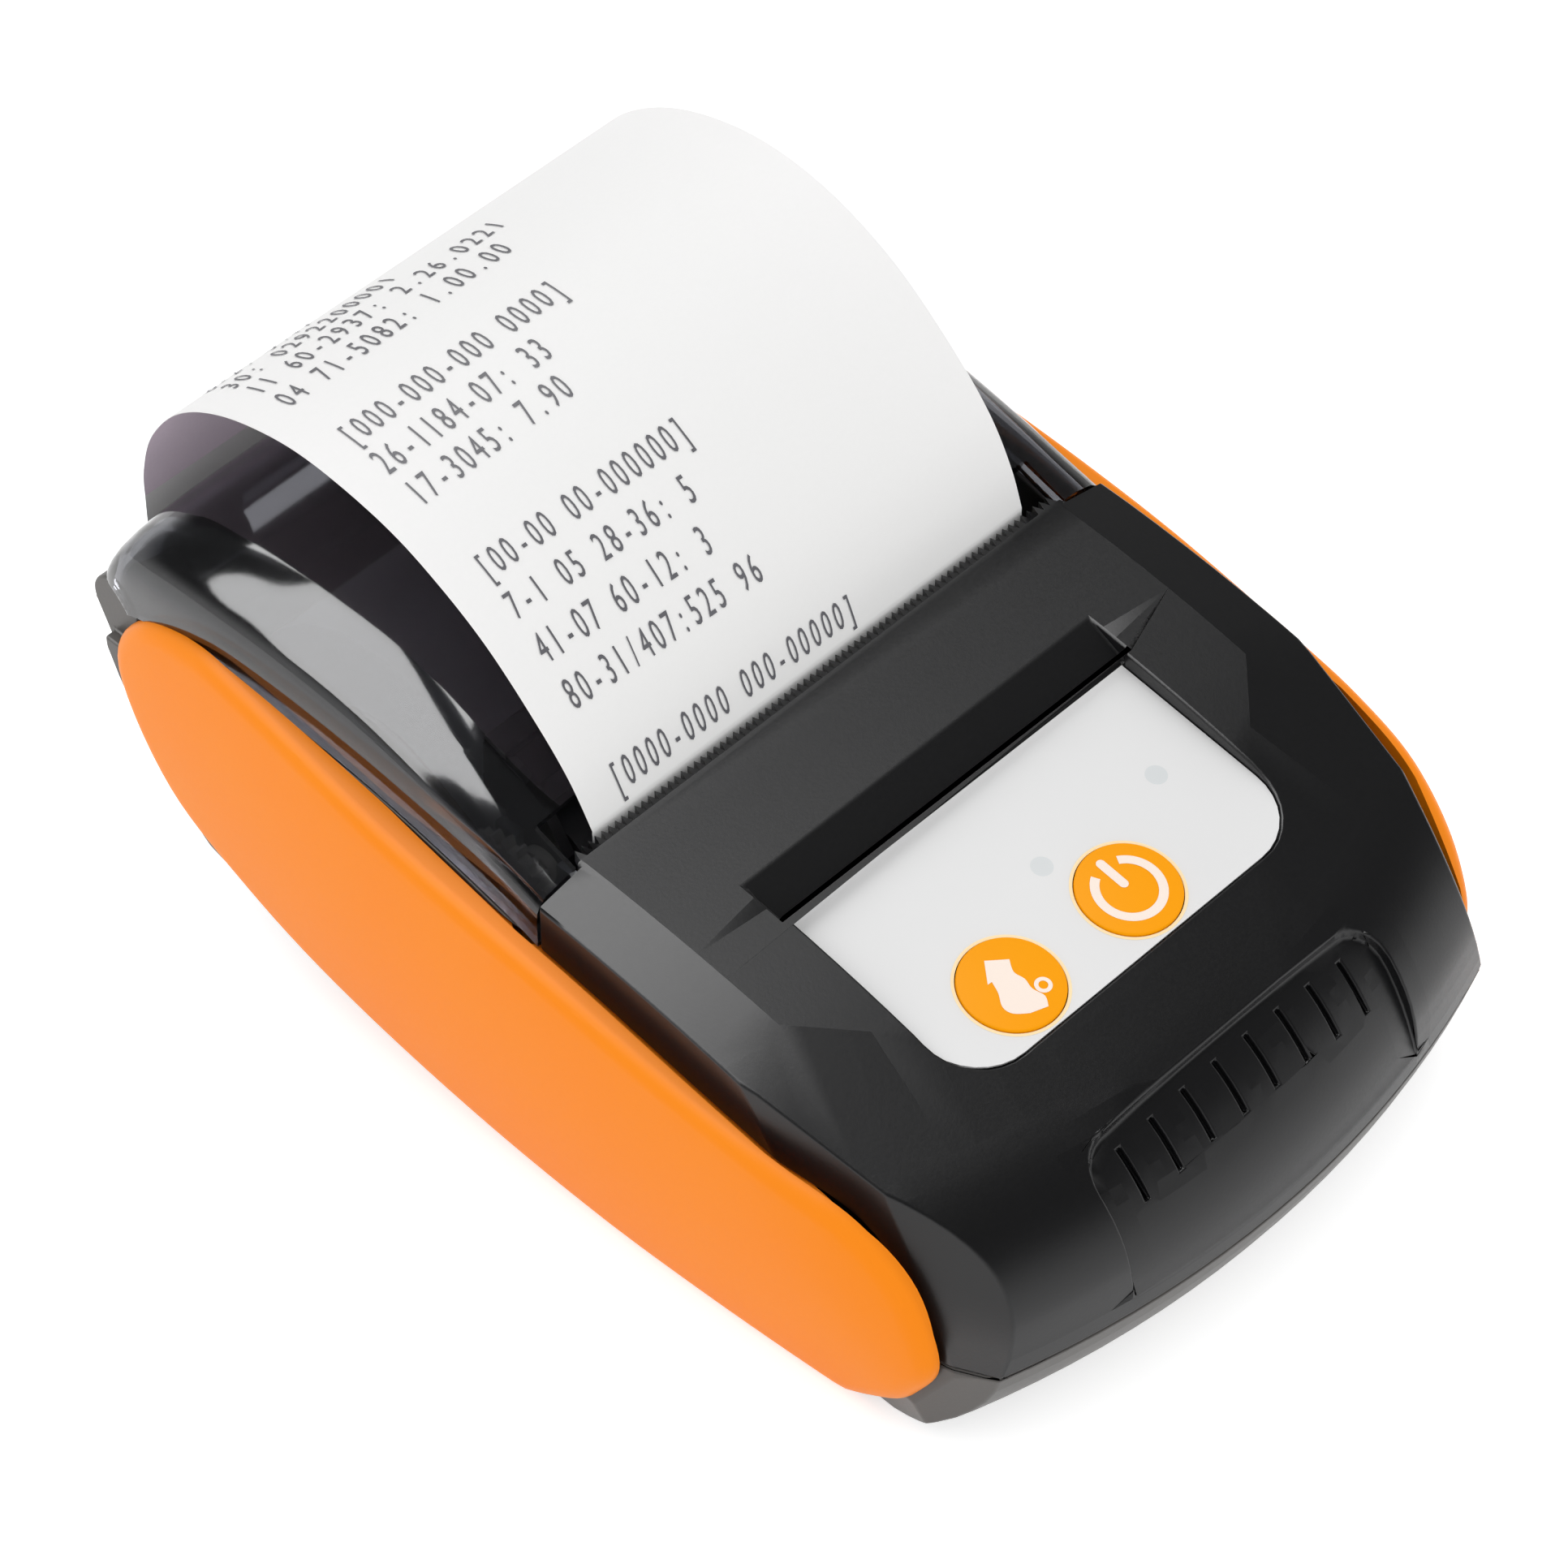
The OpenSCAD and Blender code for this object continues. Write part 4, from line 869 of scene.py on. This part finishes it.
@dataclass
class PaperWeb:
    """The strip: from the roll through the nip, over the tear edge and back over the lid in a high arch."""

    # Both edges of the arch as Y and Z, from the tear edge to the free end
    left: tuple[Point, ...] = (
        (2.45, 38.6), (5.3, 43.3), (9.4, 47.9), (15.4, 53.3), (21.5, 57), (28, 59.6), (36.2, 60.9),
        (43, 60.6), (50.7, 58.3), (57, 54.2), (61.4, 48.3), (63.3, 42.5), (63.6, 38), (63.7, 33.6),
    )
    right: tuple[Point, ...] = (
        (2.45, 38.6), (4.1, 43.1), (7.2, 48.3), (12.6, 53.9), (19.6, 59.3), (27.3, 62.7), (35, 63.9),
        (42.5, 63), (50, 60.1), (56.5, 55.2), (61, 48.8), (63.3, 42.5), (63.6, 38), (63.7, 33.6),
    )
    half: float = 28.75
    thickness: float = 0.12
    platen: Point = (7.2, 30.8)
    nip_r: float = 4.75
    roll: Point = (30.5, 22.6)
    off_r: float = 18.4
    # Share of the run from roll to platen that is left out at the roll
    web_gap: float = 0.15
    wrap_steps: int = 8
    steps: int = 10
    columns: int = 23
    # The paper's back shows above this height, on the faces turned to this place under the arch
    back_from: float = 38.6
    under_arch: Triple = (0.0, 30.0, 40.0)
    # Print: left margin's place, height over the paper, and a figure's pitch, height and width factor
    margin_x: float = -25.0
    ink_lift: float = 0.03
    pitch: float = 1.51
    figure_h: float = 2.9
    figure_w: float = 2.1
    # Height of a digit in a font of size 1, and the longest edge that is left undivided
    digit_h: float = 0.69
    longest: float = 0.9

    def _inner(self) -> list[Point]:
        """The hidden run from the roll round the platen's front."""

        def on(centre: Point, radius: float, angle: float) -> Point:
            """Point of a circle."""
            return centre[0] + radius * math.cos(angle), centre[1] + radius * math.sin(angle)

        dy, dz = self.roll[0] - self.platen[0], self.roll[1] - self.platen[1]
        angle = math.atan2(dz, dy) - math.acos((self.nip_r - self.off_r) / math.hypot(dy, dz))
        start, end = on(self.roll, self.off_r, angle), on(self.platen, self.nip_r, angle)
        first = (start[0] + self.web_gap * (end[0] - start[0]), start[1] + self.web_gap * (end[1] - start[1]))
        full = angle + 2 * math.pi
        turns = [full + (math.pi - full) * k / self.wrap_steps for k in range(self.wrap_steps + 1)]
        wrap = [on(self.platen, self.nip_r, turn) for turn in turns]
        return [first, *wrap, (self.platen[0] - self.nip_r - 0.02, 35.0)]

    def _arch(self) -> tuple[list[Point], list[Point]]:
        """Both edges of the visible arch as matching point lists."""
        return smooth_curve(self.left, self.steps), smooth_curve(self.right, self.steps)

    def sampler(self) -> Callable[[float, float], tuple[Vector, Vector]]:
        """Build a lookup of the visible arch.

        Returns:
            A function of the distance across (mm, from the middle) and along (mm, from the tear edge)
            that gives the point and the outward normal.
        """
        left, right = self._arch()
        run = [0.0]
        for (a, b), (c, d), (e, f), (g, h) in zip(left, left[1:], right, right[1:]):
            run.append(run[-1] + 0.5 * (math.hypot(c - a, d - b) + math.hypot(g - e, h - f)))

        def point(u: float, s: float) -> Vector:
            """Point of the arch at u across and s along."""
            i = max(k for k in range(len(run) - 1) if run[k] <= max(s, 0.0))
            t = (s - run[i]) / (run[i + 1] - run[i])
            w = (u + self.half) / (2 * self.half)
            place = [
                (1 - w) * (left[i][n] + t * (left[i + 1][n] - left[i][n]))
                + w * (right[i][n] + t * (right[i + 1][n] - right[i][n]))
                for n in (0, 1)
            ]
            return Vector((u, place[0], place[1]))

        def lookup(u: float, s: float) -> tuple[Vector, Vector]:
            """Point and upward normal."""
            along = point(u, s + 0.4) - point(u, s - 0.4)
            across = point(u + 0.5, s) - point(u - 0.5, s)
            return point(u, s), across.cross(along).normalized()

        return lookup

    def build(self) -> None:
        """Make the strip and its print."""
        left, right = (self._inner() + edge for edge in self._arch())
        bm = bmesh.new()
        rows = len(left) - 1
        bmesh.ops.create_grid(bm, x_segments=self.columns, y_segments=rows, size=0.5)
        for v in bm.verts:
            i = round((v.co.y + 0.5) * rows)
            w = v.co.x + 0.5
            y, z = ((1 - w) * left[i][n] + w * right[i][n] for n in (0, 1))
            v.co = Vector(((2 * w - 1) * self.half, y, z))
        bmesh.ops.solidify(bm, geom=bm.faces[:], thickness=self.thickness)
        bmesh.ops.recalc_face_normals(bm, faces=bm.faces)
        obj = to_object(bm, "printed_strip", 50.0)
        finish_piece(obj, "lid", Finish.THERMAL_PAPER, ("paper_strip",))
        # The uncoated back is duller and faintly mauve
        obj.data.materials.append(Finish.PAPER_BACK.material())
        middle = Vector(self.under_arch) * MM
        for face in obj.data.polygons:
            if face.center.z > self.back_from * MM and face.normal.dot(middle - face.center) > 0:
                face.material_index = 1
        self._print()

    def _print(self) -> None:
        """Set made-up figures on the arch, row by row, in the real size of about 1.5 x 3 mm a character."""
        rows = (
            (1.3, "[0000-0000 000-00000]"), (10.1, "80-31/407:525 96"), (14.9, "41-07 60-12: 3"),
            (19.7, "7-1 05 28-36: 5"), (24.5, "[00-00 00-000000]"), (34.5, "17-3045: 7.90"),
            (38.9, "26-1184-07: 33"), (43.4, "[000-000-000 0000]"), (52.4, "04 71-5082: 1.00.00"),
            (56.9, "11 60-2937: 2.26.0221"), (61.3, "30: 0292200001"), (65.8, "8-2: 5.17"),
        )
        lookup = self.sampler()
        bm = bmesh.new()
        for start, words in rows:
            part = self._words(words)
            for v in part.verts:
                here, up = lookup(self.margin_x + v.co.x, start + v.co.y)
                v.co = here + up * (self.thickness / 2 + self.ink_lift)
            merge(bm, part)
        obj = to_object(bm, "printed_figures", 60.0)
        finish_piece(obj, "lid", Finish.THERMAL_INK)

    def _words(self, words: str) -> Shape:
        """Turn a row of figures into a flat shape with one pitch for every character.

        Args:
            words: Digits, dashes and brackets.

        Returns:
            The shape in millimetres, its left lower corner at the origin.
        """
        size = Matrix.Diagonal((self.figure_w, self.figure_h / self.digit_h, 1, 1))
        bm = bmesh.new()
        for k, sign in enumerate(words):
            if sign == " ":
                continue
            curve = bpy.data.curves.new("figure", "FONT")
            curve.body = sign
            curve.align_x = "CENTER"
            curve.resolution_u = 3
            holder = in_scene("figure", curve)
            flat = evaluated_mesh(holder)
            flat.transform(Matrix.Translation(((k + 0.5) * self.pitch, 0, 0)) @ size)
            bm.from_mesh(flat)
            bpy.data.objects.remove(holder)
            bpy.data.curves.remove(curve)
            bpy.data.meshes.remove(flat)
        bmesh.ops.triangulate(bm, faces=bm.faces)
        long_edges = [e for e in bm.edges if e.calc_length() > self.longest]
        bmesh.ops.subdivide_edges(bm, edges=long_edges, cuts=2)
        return bm


# Keys


@dataclass
class KeyPad:
    """Printed film with two amber keys, their white signs and pale rims."""

    tilt_deg: float = 8.3
    rear: Point = (-16.1, 35.1)
    key_s: float = 17.9
    feed_x: float = -11.8
    power_x: float = 4.0
    key_r: float = 5.1
    top: float = 0.3
    # Levels under the pad: underside of the cap, of its flange and of its stem
    levels: Triple = (-2.4, -3.2, -3.55)
    flange: float = 0.7
    stem_r: float = 1.5
    # Height of print over what carries it
    ink_lift: float = 0.02
    ring_steps: int = 72

    def _place(self, bm: Shape, x: float) -> None:
        """Move a key drawn round the origin to its place on the sloping pad."""
        pad = Matrix.Translation((0, *self.rear)) @ Matrix.Rotation(math.radians(self.tilt_deg), 4, "X")
        bm.transform(pad @ Matrix.Translation((x, -self.key_s, 0)))

    def _cap(self, name: str, node: str, body: str, x: float) -> None:
        """Make one key cap at a sideways place, with a rounded rim and its hidden flange and stem."""
        cap, flange, stem = self.levels
        bm = bmesh.new()
        for radius, low, high in (
            (self.key_r, cap, self.top), (self.key_r + self.flange, flange, cap), (self.stem_r, stem, flange)
        ):
            rod(bm, Matrix.Translation((0, 0, (low + high) / 2)), radius, high - low, 96)
        rim = [e for e in bm.edges if all(abs(v.co.z - self.top) < 1e-4 for v in e.verts)]
        bmesh.ops.bevel(bm, geom=rim, offset=0.18, segments=3, profile=0.5, affect="EDGES", material=-1)
        self._place(bm, x)
        obj = to_object(bm, name, 40.0)
        finish_piece(obj, body, Finish.AMBER_KEY, (node,))

    def _ring(self, bm: Shape, r0: float, r1: float, start: float, end: float, z: float) -> None:
        """Add a flat ring or arc between two radii by spinning a short edge about Z."""
        a, b = (bm.verts.new((r * math.cos(start), r * math.sin(start), z)) for r in (r0, r1))
        edge = bm.edges.new((a, b))
        bmesh.ops.spin(
            bm, geom=[a, b, edge], cent=(0, 0, 0), axis=(0, 0, 1), angle=end - start, steps=self.ring_steps
        )

    def _sign(self, name: str, body: str, x: float, draw: Callable[[Shape], None]) -> None:
        """Make the printed sign of a key at a sideways place; draw makes it flat round the origin."""
        bm = bmesh.new()
        draw(bm)
        face_up(bm)
        self._place(bm, x)
        obj = to_object(bm, name, 60.0)
        finish_piece(obj, body, Finish.KEY_PRINT)

    def _power(self, bm: Shape) -> None:
        """Draw the usual power sign: a ring with a gap and a round-ended bar."""
        z = self.top + self.ink_lift
        self._ring(bm, 2.75, 3.65, math.radians(118), math.radians(118 + 304), z)
        bar_r, low, high = 0.47, 0.7, 3.55
        half_turn = [math.pi * k / 10 for k in range(11)]
        bar = [(bar_r * math.cos(a), high + bar_r * math.sin(a), z) for a in half_turn]
        bar += [(bar_r * math.cos(math.pi + a), low + bar_r * math.sin(math.pi + a), z) for a in half_turn]
        bm.faces.new([bm.verts.new(p) for p in bar])

    def _feed(self, bm: Shape) -> None:
        """Draw a paper-feed sign: a strip that leaves its roll and ends in an arrow head."""
        z = self.top + self.ink_lift
        right = ((1.75, 1.95), (1.05, 0.75), (1.25, -0.45), (1.0, -1.6), (1.3, -2.9), (0.7, -3.9))
        left = ((-1.1, -3.3), (-2.3, -2.3), (-2.5, -1.2), (-1.7, 0.1), (-1.25, 1.3))
        strip = smooth_curve(right, 5) + smooth_curve(left, 5) + [(-1.75, 1.35), (-0.1, 3.35)]
        face = bm.faces.new([bm.verts.new((p[0], p[1], z)) for p in strip])
        bmesh.ops.triangulate(bm, faces=[face])
        ring = bmesh.new()
        self._ring(ring, 0.45, 0.85, 0.0, 2 * math.pi, z)
        bmesh.ops.translate(ring, verts=ring.verts, vec=(2.05, -2.0, 0))
        merge(bm, ring)

    def build(self) -> None:
        """Make both keys with their signs, and the pale printed rims round them."""
        self._cap("feed_key_cap", "feed_button", "feed_key", self.feed_x)
        self._cap("power_key_cap", "power_button", "power_key", self.power_x)
        self._sign("feed_sign", "feed_key", self.feed_x, self._feed)
        self._sign("power_sign", "power_key", self.power_x, self._power)
        bm = bmesh.new()
        for x in (self.feed_x, self.power_x):
            ring = bmesh.new()
            self._ring(ring, self.key_r + 0.1, self.key_r + 0.42, 0.0, 2 * math.pi, 0.015)
            self._place(ring, x)
            merge(bm, ring)
        face_up(bm)
        obj = to_object(bm, "key_rims", 60.0)
        finish_piece(obj, "case", Finish.KEY_RIM)


# Studio


@dataclass
class Studio:
    """White table, soft lamps and the camera at the photograph's angle."""

    focal_px: float = 6800.0
    azimuth_deg: float = -45.76
    elevation_deg: float = 48.08
    eye: Triple = (-253.74, -240.91, 413.56)
    sensor: float = 36.0
    # Level overhead softboxes, seen only in glossy surfaces: name, middle and size as slopes, turn, radiance
    lamps: tuple[tuple[str, Point, Point, float, float], ...] = (
        ("right_softbox", (0.2425, 0.46), (0.315, 0.88), 0.0, 8.5),
        ("left_softbox", (-1.45, 0.87), (3.2, 0.76), -21.0, 7.0),
    )
    height: float = 2.4
    ambient: float = 1.0
    # Mirrored cove: sine of the elevation where it starts to dim, where it ends, and what is left of it
    cove: Triple = (0.05, 0.45, 0.06)
    table_half: float = 1500.0
    table_z: float = -0.05
    table_tone: str = "#EDEDED"
    floor_glow: float = 0.55

    def camera(self) -> None:
        """Place the camera."""
        a, e = math.radians(self.azimuth_deg), math.radians(self.elevation_deg)
        back = Vector((math.sin(a) * math.cos(e), -math.cos(a) * math.cos(e), math.sin(e)))
        right = Vector((math.cos(a), math.sin(a), 0))
        up = back.cross(right)
        data = bpy.data.cameras.new("camera")
        data.sensor_width = self.sensor
        data.lens = self.sensor * self.focal_px / IMAGE_PX
        data.clip_start = 0.01
        data.clip_end = 20.0
        obj = in_scene("camera", data)
        turn = Matrix((right, up, back)).transposed().to_4x4()
        obj.matrix_world = Matrix.Translation(Vector(self.eye) * MM) @ turn
        bpy.context.scene.camera = obj

    def lights(self) -> None:
        """Hang the softboxes and set the even surround."""
        for name, middle, size, turn_deg, radiance in self.lamps:
            data = bpy.data.lights.new(name, "AREA")
            data.shape = "RECTANGLE"
            data.size, data.size_y = self.height * size[0], self.height * size[1]
            data.energy = radiance * math.pi * data.size * data.size_y
            obj = in_scene(name, data)
            obj.location = (self.height * middle[0], self.height * middle[1], self.height)
            obj.rotation_euler.z = math.radians(turn_deg)
            obj.visible_diffuse = False
        # Mirrored surround: a white cove up to some height, dim above it
        recipe = Recipe(bpy.data.worlds.new("studio_surround"), "Generated")
        height = recipe.add("SeparateXYZ", {}, {0: recipe.place}, "Z")
        ends = {"From Min": self.cove[0], "From Max": self.cove[1], "To Min": 1.0, "To Max": self.cove[2]}
        ends["interpolation_type"] = "SMOOTHSTEP"
        cove = recipe.add("MapRange", ends, {"Value": height})
        even = recipe.add("Background", {"Color": WHITE, "Strength": self.ambient})
        mirrored = recipe.add("Background", {"Color": WHITE}, {"Strength": cove})
        white = recipe.add("Background", {"Color": WHITE, "Strength": 1.0})
        unseen = recipe.blend(recipe.rays("Is Glossy Ray"), even, mirrored)
        mix = recipe.blend(recipe.rays("Is Camera Ray", "Is Transmission Ray"), unseen, white)
        bpy.context.scene.world = recipe.close(mix, "OutputWorld")

    def table(self) -> None:
        """Lay the white table."""
        bm = bmesh.new()
        bmesh.ops.create_grid(bm, x_segments=1, y_segments=1, size=self.table_half)
        bmesh.ops.translate(bm, verts=bm.verts, vec=(0, 0, self.table_z))
        obj = to_object(bm, "table_top")
        recipe = Recipe(bpy.data.materials.new("white_lacquer_table"))
        matt = recipe.principled({"Base Color": linear(self.table_tone), "Roughness": 0.8})
        glow = recipe.add("Emission", {"Color": WHITE, "Strength": self.floor_glow})
        lit = recipe.add("AddShader", {}, {0: matt, 1: glow})
        seen = recipe.rays("Is Camera Ray", "Is Glossy Ray", "Is Transmission Ray")
        obj.data.materials.append(recipe.close(recipe.blend(seen, matt, lit)))

    def build(self) -> None:
        """Set up table, lamps and camera."""
        self.table()
        self.lights()
        self.camera()
        bpy.context.scene.view_settings.view_transform = "Standard"


# Assembly


def main() -> None:
    """Build every piece around the CAD frame."""
    logging.basicConfig(level=logging.INFO, format="%(name)s: %(message)s")
    Studio().build()
    shells = ShellSkin()
    shells.build("top_cover", "upper_shell", "abs_upper", Finish.ABS_UPPER)
    shells.build("bottom_case", "lower_shell", "abs_lower", Finish.ABS_LOWER)
    panel = SidePanel()
    for side in (-1, 1):
        panel.build(side)
    Lid().build()
    PaperWeb().build()
    KeyPad().build()
    dress(
        {"top_cover", "bottom_case", "side_panel_left", "side_panel_right", "paper_lid", "paper_strip",
         "feed_button", "power_button"}
    )


if __name__ == "__main__":
    main()
